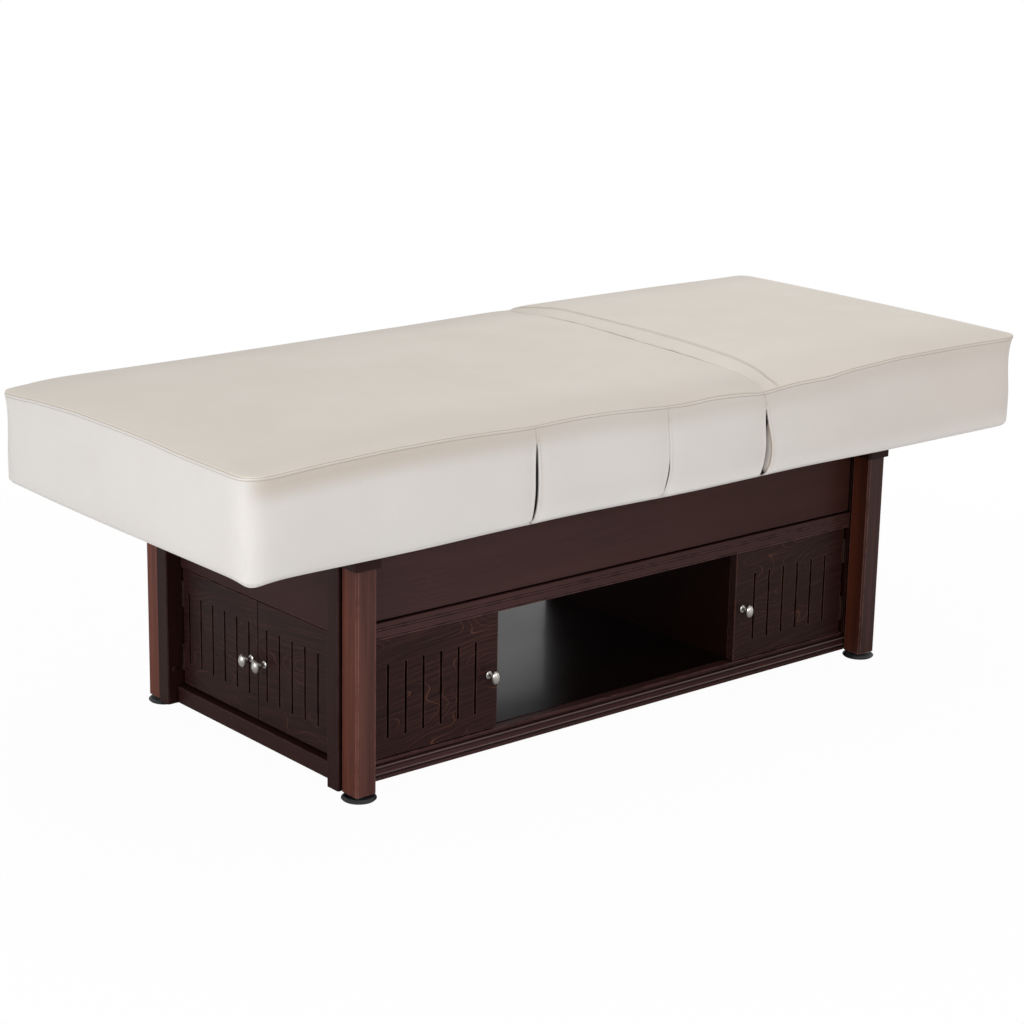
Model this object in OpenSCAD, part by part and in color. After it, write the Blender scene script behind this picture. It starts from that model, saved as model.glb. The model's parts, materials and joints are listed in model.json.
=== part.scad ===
/* [Mattress] */
// Length of the mattress, head to foot
mattress_l = 1865; // [1750:5:1950]
// Width of the mattress
mattress_w = 794; // [780:1:860]
// Height of the sewn edge above the underside, away from the folds
side_h = 181; // [140:1:200]
// How far the top panel is crowned above its sewn edge
crown_h = 18; // [8:1:28]
// Radius of the four upright corners, seen from above
corner_r = 36; // [20:1:60]
// Thickness of the plywood boards under the padding
ply_t = 16; // [12:1:22]

/* [Base] */
// Distance between foot centres along the bed
foot_span_x = 1250; // [1180:5:1320]
// Distance between foot centres across the bed
foot_span_y = 616; // [580:1:660]
// Height of the rails that the mattress lies on
bed_h = 453; // [450:1:520]
// Leg section along the bed
leg_x = 43; // [34:1:50]
// Leg section across the bed
leg_y = 45; // [40:1:56]
// Height of the leg and cabinet bottoms above the floor
under_h = 11.5; // [11:0.5:30]
// Height of the top of the closed cabinet
cabinet_h = 299; // [290:1:330]
// How far the side doors lie behind the front of the legs
side_recess = 50; // [30:1:55]
// How far the end doors lie behind the front of the end stiles
end_recess = 31; // [26:1:45]
// Thickness of doors, panels and shelves
panel_t = 18; // [15:1:19]
// Half the width of the open bay between the side doors
bay_half = 297; // [260:0.5:320]

/* [Doors] */
// Height of the vent slots
slot_h = 137; // [90:1:150]
// Width of one vent slot
slot_w = 5; // [4:0.5:7]
// Distance from one vent slot to the next
slot_pitch = 39; // [36:0.5:40]
// Number of vent slots in a door
slot_count = 6; // [3:1:6]
// Height of the knob's oval head
knob_d = 27; // [20:1:32]
// How far a knob stands out of its door
knob_out = 27; // [22:1:34]

/* [Motion] */
// Lift travel of the top
lift_travel = 200; // [120:10:200]
// Largest angle of the back section
back_angle = 65; // [40:1:66]
// Largest angle of the thigh section
thigh_angle = 20; // [10:1:22]
// Place of the back hinge along the bed
back_x = 240; // [200:5:260]
// Place of the thigh hinge along the bed
thigh_x = -6; // [-50:1:0]
// Place of the knee hinge along the bed
knee_x = -320; // [-345:1:-300]
// Length of the levers that the rods push
lever_r = 70; // [64:1:74]
// How much further the mattress reaches over the head end than over the foot end, halved
head_shift = 24; // [0:1:30]
// Travel of a levelling foot
foot_travel = 12; // [6:1:14]

/* [Hidden] */
$fn = 48;

// Colours
wood = "#2b1c1a";
shelf_black = "#141110";
steel = "#8c9094";
nickel = "#c9c8c4";
hide = "#e3ddd2";
plywood = "#b98f5e";
dark_plastic = "#1c1c1e";

// Gaps and overruns shared by many pieces
cut = 1;
face_gap = 0.3;
pad_gap = 0.4;
run_gap = 0.05;
slide_gap = 1;
reveal = 1.5;
lift_reveal = 2;

// Corner of the base: leg, stile and the faces that follow from them
leg_cx = foot_span_x / 2;
leg_cy = foot_span_y / 2;
leg_in_x = leg_cx - leg_x / 2;
leg_out_x = leg_cx + leg_x / 2;
leg_in_y = leg_cy - leg_y / 2;
leg_out_y = leg_cy + leg_y / 2;
leg_chamfer = 3.5;
leg_wall = 6;
leg_plug_h = 42;
cap_h = 34;
cap_proud = 6;
leg_top = bed_h - lift_reveal - cap_h;
stile_w = 33;
stile_proud = 6.5;
stile_ease = 2;
stile_in_y = leg_in_y - stile_w;
stile_out_x = leg_out_x + stile_proud;
side_face = leg_out_y - side_recess;
side_back = side_face - panel_t;
end_face = stile_out_x - end_recess;
end_back = end_face - panel_t;

// Cabinet heights and rails
base_h = 35;
base_proud = 7;
end_rail_h = 32;
end_rail_proud = 9.5;
mould_h = 30;
mould_proud = 6;
groove_r = 1;
end_sill = 7.5;
end_rise = 6.5;
end_gap = 1;
base_top = under_h + base_h;
mould_z = cabinet_h - mould_h;
door_z0 = base_top + reveal;
door_z1 = mould_z - reveal;
end_door_z0 = under_h + end_rail_h + end_sill;
end_door_z1 = mould_z + end_rise;
deck_z = cabinet_h - panel_t;
floor_z = base_top + slide_gap;
ease = 1;
nose_step = 6;
bead_r = 2.4;
bead_step = 1.6;

// Lifting columns
column_x = 80;
column_y = 110;
column_wall = 3;
column_gap = 5.5;
column_cx = bay_half + panel_t + column_gap + column_x / 2;
plate_t = 6;
plate_rim = 12;
housing_drop = 16;

// Frame under the mattress
rail_h = 22;
rail_w = 40;
head_w = 36;
head_drop = 18;
cross_w = 40;
bar_w = 30;
rail_in_y = side_back - rail_w;
rail_z = bed_h - rail_h;
cross_z = rail_z - rail_h;
column_top = cross_z - plate_t;
head_in_x = leg_cx - head_w / 2;
head_out_x = leg_cx + head_w / 2;
head_top = bed_h - lift_reveal;
cap_x = leg_x + 2 * cap_proud;
cap_y = leg_y + 2 * cap_proud;
cap_in_y = leg_cy - cap_y / 2;
cap_out_x = leg_cx + cap_x / 2;
glide_h = 20;

// Sections and their hinges
arm_half = 10.4;
arm_w = 20;
arm_room = 28;
arm_space = 8;
hinge_z = bed_h + pad_gap - arm_half;
arm_out_y = rail_in_y - arm_room;
calf_out_y = arm_out_y - arm_w - arm_space;
pin_r = 6;
hub_r = 10;
lever_t = 6;
lever_space = 12;
lever_y = 100;
lever_end_r = 9;
arm_end_x = 830;
brace_w = 20;
notch_gap = 4;
thigh_bar_x = -175;
seat_bar_x = 85;
pad_z = bed_h + pad_gap;
board_top = pad_z + ply_t;
board_rim = 26;
board_end = 20;
fold_slack = 0.4;
back_half = back_angle / 2 + fold_slack;
thigh_half = thigh_angle / 2 + fold_slack;

// Rods and their drives
rod_r = 8;
tube_r = 20;
tube_l = 325;
gland_l = 14;
gland_r = 14;
motor_d = 46;
motor_l = 90;
motor_set = 4;
well_gap = 6;
clamp_w = 30;
fork_t = 8;
fork_w = 36;
fork_side = 10;
yoke_gap = 2;
back_pin_z = hinge_z - lever_r * cos(back_angle / 2);
back_pin_x = back_x - lever_r * sin(back_angle / 2);
knee_pin_z = hinge_z - lever_r * cos(thigh_angle / 2);
knee_pin_x = thigh_x + lever_r * sin(thigh_angle / 2);
back_stroke = 2 * lever_r * sin(back_angle / 2);
knee_stroke = 2 * lever_r * sin(thigh_angle / 2);

// Doors and their hardware
hinge_gap = 5;
hinge_in = 3;
leaf_t = 1.5;
leaf_reach = 14;
knuckle_r = 3;
hinge_pin_r = 1.6;
hinge_h = 50;
hinge_share = 0.2;
knuckle_gap = 0.3;
side_axis_x = leg_in_x - hinge_gap;
side_axis_y = side_face - hinge_in;
end_axis_x = end_face - hinge_in;
end_axis_y = stile_in_y - hinge_gap;
side_door_w = side_axis_x - hinge_gap - bay_half;
end_meet = 0.75;
end_door_w = end_axis_y - hinge_gap - end_meet;
slot_drop = 7;
end_slot_drop = 2;
end_slot_out = 4;
knob_in = 20;
knob_lift = 0.5;
rose_share = 0.26;
stem_share = 0.11;
rose_t = 2.5;
knob_head_share = 0.36;
knob_oval_share = 0.68;
catch_w = 12;
catch_h = 34;
catch_t = 10;

// Feet
foot_r = 31;
foot_disc_h = 7;
foot_edge = 2;
stem_thread_r = 5;
foot_nut_r = 9;
foot_nut_h = 3.5;
stem_top = 56;

// Control box
box_l = 170;
box_w = 90;
box_h = 38;
box_y = 190;

// Padding
underside_in = 15;
side_bulge = 3;
pinch = 6;
pinch_l = 7;
board_slack = 0.3;
seam_in = 4;
dip_w = 70;
back_dip = 22;
thigh_dip = 14;
knee_dip = 6;
valley_in = 8;
end_fall = 15;
end_fall_l = 70;
ref_z = pad_z + side_h;
ref_h = ref_z - hinge_z;

// Shared shapes

// Everything is drawn from the middle of the base and placed under the middle of the mattress
module placed() {
    translate([-head_shift, 0, 0]) children();
}

module at_corner(sx, sy) {
    mirror([sx < 0 ? 1 : 0, 0, 0])
        mirror([0, sy < 0 ? 1 : 0, 0])
            children();
}

module four_corners() {
    for (sx = [-1, 1])
        for (sy = [-1, 1])
            at_corner(sx, sy) children();
}

module two_ends() {
    for (sx = [-1, 1])
        mirror([sx < 0 ? 1 : 0, 0, 0]) children();
}

module two_sides() {
    for (sy = [-1, 1])
        mirror([0, sy < 0 ? 1 : 0, 0]) children();
}

// A block from its lowest to its highest corner
module block(lo, hi) {
    translate(lo) cube(hi - lo);
}

// A rectangle with its four corners cut at 45 degrees
module chamfered(w, d, c) {
    polygon([[-w / 2 + c, -d / 2], [w / 2 - c, -d / 2], [w / 2, -d / 2 + c], [w / 2, d / 2 - c],
        [w / 2 - c, d / 2], [-w / 2 + c, d / 2], [-w / 2, d / 2 - c], [-w / 2, -d / 2 + c]]);
}

// A wall of a rectangular tube
module tube_section(w, d, wall) {
    difference() {
        square([w, d], center = true);
        square([w - 2 * wall, d - 2 * wall], center = true);
    }
}

// A rod along the width of the bed
module cross_rod(r, half, x, z) {
    translate([x, 0, z])
        rotate([90, 0, 0])
            cylinder(r = r, h = 2 * half, center = true);
}

// An upright plate in the length direction, from an outline in length and height
module side_plate(y0, y1) {
    translate([0, y1, 0])
        rotate([90, 0, 0])
            linear_extrude(height = y1 - y0) children();
}

// Fixed base

module leg(sx, sy) {
    color(wood) placed()
        at_corner(sx, sy)
            translate([leg_cx, leg_cy, 0])
                difference() {
                    translate([0, 0, under_h])
                        linear_extrude(height = leg_top - under_h)
                            chamfered(leg_x, leg_y, leg_chamfer);
                    translate([0, 0, under_h + leg_plug_h])
                        linear_extrude(height = leg_top)
                            square([leg_x - 2 * leg_wall, leg_y - 2 * leg_wall], center = true);
                    cylinder(r = stem_thread_r + run_gap, h = leg_top);
                }
}

module end_stiles() {
    color(wood) placed()
        four_corners()
            translate([0, 0, under_h])
                linear_extrude(height = leg_top - under_h)
                    polygon([[leg_in_x, stile_in_y], [stile_out_x - stile_ease, stile_in_y],
                        [stile_out_x, stile_in_y + stile_ease],
                        [stile_out_x, leg_in_y - stile_ease],
                        [stile_out_x - stile_ease, leg_in_y], [leg_in_x, leg_in_y]]);
}

// The bottom rail under each pair of end doors, and the stop rail above them
module end_rails() {
    rail_front = end_face + end_rail_proud;
    stop_back = end_back - reveal - panel_t;
    color(wood) placed()
        two_ends() {
            translate([0, stile_in_y, 0])
                rotate([90, 0, 0])
                    linear_extrude(height = 2 * stile_in_y)
                        polygon([[leg_in_x, under_h], [rail_front - ease, under_h],
                            [rail_front, under_h + ease],
                            [rail_front, under_h + end_rail_h - ease],
                            [rail_front - ease, under_h + end_rail_h],
                            [leg_in_x, under_h + end_rail_h]]);
            block([stop_back, -stile_in_y, deck_z - mould_h],
                [end_back - reveal, stile_in_y, deck_z]);
        }
}

// A flat band, a bead, a second band, a second bead and a foot, along the foot of each side
module base_profile() {
    nose = panel_t + base_proud;
    band = (base_h - 4 * bead_r) / 3;
    difference() {
        union() {
            square([nose, band]);
            square([nose - bead_step, 2 * band + 2 * bead_r]);
            square([panel_t + ease, base_h - ease]);
            square([panel_t, base_h]);
            for (z = [band + bead_r, 2 * band + 3 * bead_r])
                translate([nose - bead_r, z]) circle(r = bead_r);
            square([nose - bead_r, 2 * band + 4 * bead_r]);
        }
        translate([nose, 0]) rotate([0, 0, 45]) square(ease * sqrt(2), center = true);
    }
}

// A flat moulding cut by three grooves, with a rounded upper edge
module top_profile() {
    nose = panel_t + mould_proud;
    round_r = 2 * ease;
    difference() {
        union() {
            square([nose, mould_h - round_r]);
            square([nose - round_r, mould_h]);
            translate([nose - round_r, mould_h - round_r]) circle(r = round_r);
        }
        for (share = [0.1, 0.53, 0.69])
            translate([nose, mould_h * share]) circle(r = groove_r);
    }
}

module side_moulding(z) {
    two_sides()
        translate([-leg_in_x, side_back, z])
            rotate([90, 0, 90])
                linear_extrude(height = 2 * leg_in_x) children();
}

module base_mouldings() {
    color(wood) placed() side_moulding(under_h) base_profile();
}

module top_mouldings() {
    color(wood) placed() side_moulding(mould_z) top_profile();
}

module cabinet_floor() {
    color(shelf_black) placed() {
        block([-leg_in_x, -side_back, floor_z - panel_t], [leg_in_x, side_back, floor_z]);
    }
}

module cabinet_deck() {
    hole_x = column_x + 2 * slide_gap;
    hole_y = column_y + 2 * slide_gap;
    edge_x = end_back - reveal;
    color(wood) placed()
        difference() {
            block([-edge_x, -side_back, deck_z], [edge_x, side_back, cabinet_h]);
            two_ends()
                translate([column_cx - hole_x / 2, -hole_y / 2, deck_z - cut])
                    cube([hole_x, hole_y, panel_t + 2 * cut]);
            drive_wells();
        }
}

// Room for the motors, where the cabinet is so high that they hang lower than its top
module drive_wells() {
    translate([back_gland_x, lever_y, 0]) drive_well(back_rod_z);
    translate([knee_gland_x, -lever_y, 0]) mirror([1, 0, 0]) drive_well(knee_rod_z);
}

module drive_well(z) {
    motor_x = -tube_l - motor_set;
    bottom = z - tube_r - motor_d + motor_set - well_gap;
    block([motor_x - well_gap, -motor_d / 2 - well_gap, bottom],
        [motor_x + motor_l + well_gap, motor_d / 2 + well_gap, max(cabinet_h, bottom) + cut]);
}

module partitions() {
    color(wood) placed()
        difference() {
            two_ends()
                block([bay_half, -side_back + slide_gap, floor_z],
                    [bay_half + panel_t, side_back - slide_gap, deck_z]);
            drive_wells();
        }
}

module column_housings() {
    color(steel) placed()
        two_ends()
            translate([column_cx, 0, floor_z]) {
                linear_extrude(height = plate_t)
                    square([column_x + column_gap, column_y + 2 * plate_rim], center = true);
                linear_extrude(height = column_top - housing_drop - floor_z)
                    tube_section(column_x, column_y, column_wall);
            }
}

module control_box() {
    color(dark_plastic) placed()
        translate([-box_l / 2, box_y - box_w / 2, cabinet_h]) {
            linear_extrude(height = box_h)
                translate([box_l / 2, box_w / 2]) chamfered(box_l, box_w, nose_step);
        }
}

// Hinges in their own frame: the pin stands at the origin, the door lies towards +X
// and its front faces +Y

module hinge_fixed(z) {
    end_h = hinge_h * (1 - hinge_share) / 2;
    block([-hinge_gap, -leaf_reach, z - hinge_h / 2],
        [-hinge_gap + leaf_t, hinge_in, z + hinge_h / 2]);
    translate([0, 0, z - hinge_h / 2]) cylinder(r = hinge_pin_r, h = hinge_h, $fn = 24);
    for (z0 = [z - hinge_h / 2, z + hinge_h / 2 - end_h]) {
        translate([0, 0, z0]) cylinder(r = knuckle_r, h = end_h, $fn = 24);
        block([-hinge_gap + leaf_t / 2, -leaf_t / 2, z0], [0, leaf_t / 2, z0 + end_h]);
    }
}

module hinge_moving(z) {
    mid_h = hinge_h * hinge_share - 2 * knuckle_gap;
    difference() {
        union() {
            block([hinge_gap - leaf_t, -leaf_reach, z - hinge_h / 2],
                [hinge_gap, hinge_in - ease, z + hinge_h / 2]);
            translate([0, 0, z - mid_h / 2]) cylinder(r = knuckle_r, h = mid_h, $fn = 24);
            block([0, -leaf_t / 2, z - mid_h / 2],
                [hinge_gap - leaf_t / 2, leaf_t / 2, z + mid_h / 2]);
        }
        translate([0, 0, z - hinge_h])
            cylinder(r = hinge_pin_r + run_gap, h = 2 * hinge_h, $fn = 24);
    }
}

function side_span() = [door_z0, door_z1];
function end_span() = [end_door_z0, end_door_z1];
function hinge_heights(span) = [span[0] + hinge_h, span[1] - hinge_h];

module at_side_door(sx, sy) {
    at_corner(sx, sy)
        translate([side_axis_x, side_axis_y, 0])
            mirror([1, 0, 0]) children();
}

module at_end_door(sx, sy) {
    at_corner(sx, sy)
        translate([end_axis_x, end_axis_y, 0])
            rotate([0, 0, -90]) children();
}

module door_hinges() {
    color(nickel) placed()
        for (sx = [-1, 1])
            for (sy = [-1, 1]) {
                for (z = hinge_heights(side_span())) at_side_door(sx, sy) hinge_fixed(z);
                for (z = hinge_heights(end_span())) at_end_door(sx, sy) hinge_fixed(z);
            }
}

// A slab with its four front edges eased
module eased_slab(w, h, t) {
    difference() {
        cube([w, t, h]);
        for (x = [0, w])
            translate([x, t, h / 2])
                rotate([0, 0, 45])
                    cube([ease * sqrt(2), ease * sqrt(2), h + 2 * cut], center = true);
        for (z = [0, h])
            translate([w / 2, t, z])
                rotate([45, 0, 0])
                    cube([w + 2 * cut, ease * sqrt(2), ease * sqrt(2)], center = true);
    }
}

// Slots round the middle of a door, moved out along it and down it
module vent_slots(w, h, out, drop) {
    first = w / 2 - out - (slot_count - 1) * slot_pitch / 2;
    for (k = [0:slot_count - 1])
        translate([first + k * slot_pitch, 0, h / 2 - drop])
            rotate([90, 0, 0])
                translate([0, 0, -panel_t - cut])
                    linear_extrude(height = panel_t + 2 * cut) {
                        square([slot_w, slot_h - slot_w], center = true);
                        for (s = [-1, 1])
                            translate([0, s * (slot_h - slot_w) / 2]) circle(d = slot_w);
                    }
}

module door_panel(w, span, out, drop) {
    h = span[1] - span[0];
    color(wood)
        translate([hinge_gap, hinge_in - panel_t, span[0]])
            difference() {
                eased_slab(w, h, panel_t);
                vent_slots(w, h, out, drop);
            }
}

// Outlines of a knob: the rose with its stem, and the flared head with its domed crown
function stem_outline() =
    let (rose_r = knob_d * rose_share, stem_r = knob_d * stem_share)
        [[0, 0], [rose_r, 0], [rose_r, rose_t * 0.5], [rose_r * 0.78, rose_t],
            [stem_r * 1.15, rose_t * 1.2], [stem_r, rose_t * 2], [stem_r, knob_out * 0.5],
            [0, knob_out * 0.5]];

function head_outline() =
    let (head = knob_out * knob_head_share, r = knob_d / 2, neck = knob_out - head,
        stem_r = knob_d * stem_share)
        concat([[0, knob_out * 0.3], [stem_r * 1.2, knob_out * 0.3], [stem_r * 1.6, neck * 0.62],
                [r * 0.62, neck * 0.84], [r * 0.93, neck * 0.97]],
            [for (a = [5:17:90]) [r * cos(a), neck + head * sin(a)]]);

module door_hardware(w, span, drop) {
    color(nickel) {
        translate([hinge_gap + w - knob_in, hinge_in, (span[0] + span[1]) / 2 - drop + knob_lift])
            rotate([-90, 0, 0]) {
                rotate_extrude() polygon(stem_outline());
                scale([knob_oval_share, 1, 1]) rotate_extrude() polygon(head_outline());
            }
        for (z = hinge_heights(span)) hinge_moving(z);
    }
}

module side_door(sx, sy) {
    placed() at_side_door(sx, sy) door_panel(side_door_w, side_span(), 0, slot_drop);
}

module side_knob(sx, sy) {
    placed() at_side_door(sx, sy) door_hardware(side_door_w, side_span(), slot_drop);
}

module end_door(sx, sy) {
    placed() at_end_door(sx, sy)
        door_panel(end_door_w, end_span(), end_slot_out, end_slot_drop);
}

module end_knob(sx, sy) {
    placed() at_end_door(sx, sy) door_hardware(end_door_w, end_span(), end_slot_drop);
}

// Magnetic catches: on the partitions for side doors, under the stop rail for end doors
module door_catches() {
    mid_z = (door_z0 + door_z1) / 2;
    stop_z = deck_z - mould_h;
    color(dark_plastic) placed()
        four_corners() {
            block([bay_half + panel_t, side_back - slide_gap - catch_t, mid_z - catch_h / 2],
                [bay_half + panel_t + catch_w, side_back - slide_gap, mid_z + catch_h / 2]);
            block([end_back - reveal - catch_t, end_meet + catch_w, stop_z - catch_w],
                [end_back - reveal, end_meet + catch_w + catch_h, stop_z]);
        }
}

// Rising frame

module guide_posts() {
    wall = 2;
    post_x = leg_x - 2 * leg_wall - 2 * slide_gap;
    post_y = leg_y - 2 * leg_wall - 2 * slide_gap;
    post_z = under_h + leg_plug_h + foot_travel;
    color(steel) placed()
        four_corners()
            translate([leg_cx, leg_cy, post_z])
                linear_extrude(height = head_top - cap_h + face_gap - post_z)
                    tube_section(post_x, post_y, wall);
}

module leg_caps() {
    color(wood) placed()
        four_corners()
            translate([leg_cx, leg_cy, leg_top + face_gap])
                linear_extrude(height = head_top - leg_top - face_gap)
                    chamfered(cap_x, cap_y, leg_chamfer);
}

// Outline of an end rail across the bed, notched where the section arms pass over it
module end_rail_outline(arm_y) {
    notch_z = hinge_z - arm_half - notch_gap / 4;
    shoulder_z = leg_top + face_gap;
    difference() {
        union() {
            translate([-cap_in_y, shoulder_z]) square([2 * cap_in_y, head_top - shoulder_z]);
            translate([-stile_in_y + slide_gap, shoulder_z - head_drop])
                square([2 * (stile_in_y - slide_gap), head_drop + cut]);
        }
        for (s = [-1, 1])
            translate([s * (arm_y - arm_w / 2) - arm_w / 2 - notch_gap, notch_z])
                square([arm_w + 2 * notch_gap, head_top]);
    }
}

module cross_rail(x, w) {
    block([x - w / 2, -side_back, cross_z], [x + w / 2, side_back, rail_z]);
}

module bed_rails() {
    color(steel) placed() {
        two_sides()
            block([-head_in_x, rail_in_y, rail_z], [head_in_x, side_back, bed_h]);
        for (e = [[-1, calf_out_y], [1, arm_out_y]])
            translate([e[0] * leg_cx - head_w / 2, 0, 0])
                rotate([90, 0, 90])
                    linear_extrude(height = head_w) end_rail_outline(e[1]);
        for (x = [-column_cx, column_cx]) cross_rail(x, cross_w);
        for (x = [thigh_bar_x, seat_bar_x]) cross_rail(x, bar_w);
    }
}

// The long aprons, with their upper corners cut out for the leg caps
module side_aprons() {
    apron_x = leg_in_x - slide_gap;
    color(wood) placed()
        two_sides()
            difference() {
                translate([-apron_x, side_back, cabinet_h + lift_reveal])
                    eased_slab(2 * apron_x, head_top - cabinet_h - lift_reveal, panel_t);
                two_ends()
                    block([leg_cx - cap_x / 2 - face_gap, cap_in_y - face_gap, leg_top],
                        [leg_cx, side_face + cut, bed_h]);
            }
}

module end_aprons() {
    apron_y = stile_in_y - slide_gap;
    apron_z = end_door_z1 + end_gap;
    color(wood) placed()
        two_ends()
            translate([end_back, apron_y, apron_z])
                rotate([0, 0, -90])
                    eased_slab(2 * apron_y, leg_top + face_gap - head_drop - apron_z, panel_t);
}

module column_rams() {
    ram_x = column_x - 2 * column_wall - 2 * slide_gap;
    ram_y = column_y - 2 * column_wall - 2 * slide_gap;
    ram_z = floor_z + 2 * plate_t;
    color(nickel) placed()
        two_ends()
            translate([column_cx, 0, 0]) {
                translate([0, 0, ram_z])
                    linear_extrude(height = column_top - ram_z)
                        tube_section(ram_x, ram_y, column_wall);
                translate([0, 0, column_top])
                    linear_extrude(height = plate_t)
                        square([column_x + 2 * plate_rim, column_y + 2 * plate_rim],
                            center = true);
            }
}

// A drive lying along the bed, hung from the cross rails by a block at each place in
// hangers: its rod leaves the gland at x = 0, towards +X
module drive(z, hangers) {
    motor_z = -tube_r - motor_d / 2 + motor_set;
    difference() {
        union() {
            translate([-tube_l, 0, z]) rotate([0, 90, 0]) cylinder(r = tube_r, h = tube_l - gland_l);
            translate([-tube_l / 2, 0, z]) rotate([0, 90, 0]) cylinder(r = gland_r, h = tube_l / 2);
            block([-tube_l - motor_set, -tube_r - motor_set, z + motor_z],
                [-tube_l + motor_d, tube_r + motor_set, z + motor_set]);
            translate([-tube_l - motor_set, 0, z + motor_z])
                rotate([0, 90, 0]) cylinder(d = motor_d, h = motor_l);
            for (x = hangers)
                block([x - clamp_w / 2, -tube_r - column_wall, z],
                    [x + clamp_w / 2, tube_r + column_wall, cross_z]);
        }
        translate([-tube_l + motor_d, 0, z])
            rotate([0, 90, 0]) cylinder(r = rod_r + run_gap, h = tube_l);
    }
}

module actuators() {
    color(dark_plastic) placed() {
        translate([back_gland_x, lever_y, 0])
            drive(back_rod_z, [thigh_bar_x - back_gland_x, seat_bar_x - back_gland_x]);
        translate([knee_gland_x, -lever_y, 0])
            mirror([1, 0, 0])
                drive(knee_rod_z, [knee_gland_x - seat_bar_x, knee_gland_x - column_cx]);
    }
}

back_rod_z = (back_pin_z + hinge_z - lever_r) / 2;
knee_rod_z = (knee_pin_z + hinge_z - lever_r) / 2;
back_gland_x = seat_bar_x + clamp_w;
knee_gland_x = seat_bar_x - clamp_w;

module hinge_pins() {
    color(nickel) placed() {
        cross_rod(pin_r, rail_in_y, back_x, hinge_z);
        cross_rod(pin_r, rail_in_y, thigh_x, hinge_z);
    }
}

// Nylon strips on the ends of the frame, that the overhanging sections rest on
module glide_strips() {
    strip_z = bed_h - glide_h;
    for (e = [[-1, calf_out_y], [1, arm_out_y]]) {
        inner = e[1] - arm_w - 2 * notch_gap;
        outer = e[1] + 2 * notch_gap;
        color(dark_plastic) placed()
            for (span = [[-inner, inner], [outer, cap_in_y], [-cap_in_y, -outer]])
                mirror([e[0] < 0 ? 1 : 0, 0, 0])
                    side_plate(span[0], span[1])
                        polygon([[head_out_x, strip_z], [cap_out_x, strip_z],
                            [cap_out_x, bed_h - lift_reveal], [cap_out_x - lift_reveal, bed_h],
                            [head_out_x, bed_h]]);
    }
}

// Sections of the top

// Lean of an end, in length for each unit of height: the slope of a section's end plane
function lean(half) = tan(half);

// A board between two end planes that pass through the hinge axes
module board(x0, lean0, x1, lean1) {
    lo = pad_z - hinge_z;
    hi = board_top - hinge_z;
    color(plywood) placed()
        side_plate(-mattress_w / 2 + board_rim, mattress_w / 2 - board_rim)
            polygon([[x0 + lean0 * lo, pad_z], [x1 + lean1 * lo, pad_z],
                [x1 + lean1 * hi, board_top], [x0 + lean0 * hi, board_top]]);
}

// A square section arm with a round end about each pin that it turns on
module arm_outline(x0, x1, round0, round1) {
    translate([x0, hinge_z - arm_half]) square([x1 - x0, 2 * arm_half]);
    if (round0) translate([x0, hinge_z]) circle(r = arm_half);
    if (round1) translate([x1, hinge_z]) circle(r = arm_half);
}

module arm_pair(out_y) {
    two_sides() side_plate(out_y - arm_w, out_y) children();
}

// Two plates that hang from the hub and hold the pin that a rod pushes
module lever(x, px, pz, y) {
    dx = px - x;
    dz = pz - hinge_z;
    nx = -dz / lever_r;
    nz = dx / lever_r;
    for (s = [-1, 1])
        translate([0, s * (lever_space + lever_t) / 2 + y, 0])
            side_plate(-lever_t / 2, lever_t / 2) {
                translate([x, hinge_z]) circle(r = hub_r);
                translate([px, pz]) circle(r = lever_end_r);
                polygon([[x + nx * hub_r, hinge_z + nz * hub_r],
                    [px + nx * lever_end_r, pz + nz * lever_end_r],
                    [px - nx * lever_end_r, pz - nz * lever_end_r],
                    [x - nx * hub_r, hinge_z - nz * hub_r]]);
            }
    translate([0, y, 0]) cross_rod(pin_r, lever_space / 2 + lever_t, px, pz);
}

module pin_bore(x) {
    cross_rod(pin_r + run_gap, mattress_w, x, hinge_z);
}

module back_frame() {
    color(steel) placed()
        difference() {
            union() {
                arm_pair(arm_out_y) arm_outline(back_x, arm_end_x, true, false);
                cross_rod(hub_r, arm_out_y - arm_w / 2, back_x, hinge_z);
                block([arm_end_x - brace_w, -arm_out_y + arm_w / 2, hinge_z - arm_half],
                    [arm_end_x, arm_out_y - arm_w / 2, hinge_z + arm_half]);
                lever(back_x, back_pin_x, back_pin_z, lever_y);
            }
            pin_bore(back_x);
        }
}

module thigh_frame() {
    color(steel) placed() {
        difference() {
            union() {
                arm_pair(arm_out_y) arm_outline(knee_x, thigh_x, true, true);
                cross_rod(hub_r, arm_out_y - arm_w / 2, thigh_x, hinge_z);
                lever(thigh_x, knee_pin_x, knee_pin_z, -lever_y);
            }
            pin_bore(thigh_x);
        }
        cross_rod(pin_r, arm_out_y - arm_w / 2, knee_x, hinge_z);
    }
}

module calf_frame() {
    color(steel) placed()
        difference() {
            union() {
                arm_pair(calf_out_y) arm_outline(-arm_end_x, knee_x, false, true);
                cross_rod(hub_r, calf_out_y - arm_w / 2, knee_x, hinge_z);
                block([-arm_end_x, -calf_out_y + arm_w / 2, hinge_z - arm_half],
                    [-arm_end_x + brace_w, calf_out_y - arm_w / 2, hinge_z + arm_half]);
            }
            pin_bore(knee_x);
        }
}

// A rod with a slotted plate: the slot lets the lever's pin rise and fall as it is pushed
module rod_and_yoke(slot_lo, slot_hi, reach) {
    slot_r = pin_r + yoke_gap;
    side_plate(-fork_t / 2, fork_t / 2)
        difference() {
            translate([-fork_w / 2, slot_lo - slot_r - fork_side])
                square([fork_w, slot_hi - slot_lo + 2 * (slot_r + fork_side)]);
            translate([-slot_r, slot_lo]) square([2 * slot_r, slot_hi - slot_lo]);
            for (z = [slot_lo, slot_hi]) translate([0, z]) circle(r = slot_r);
        }
    translate([-fork_w / 2 - reach, 0, 0])
        rotate([0, 90, 0]) cylinder(r = rod_r, h = reach + cut);
}

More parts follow.
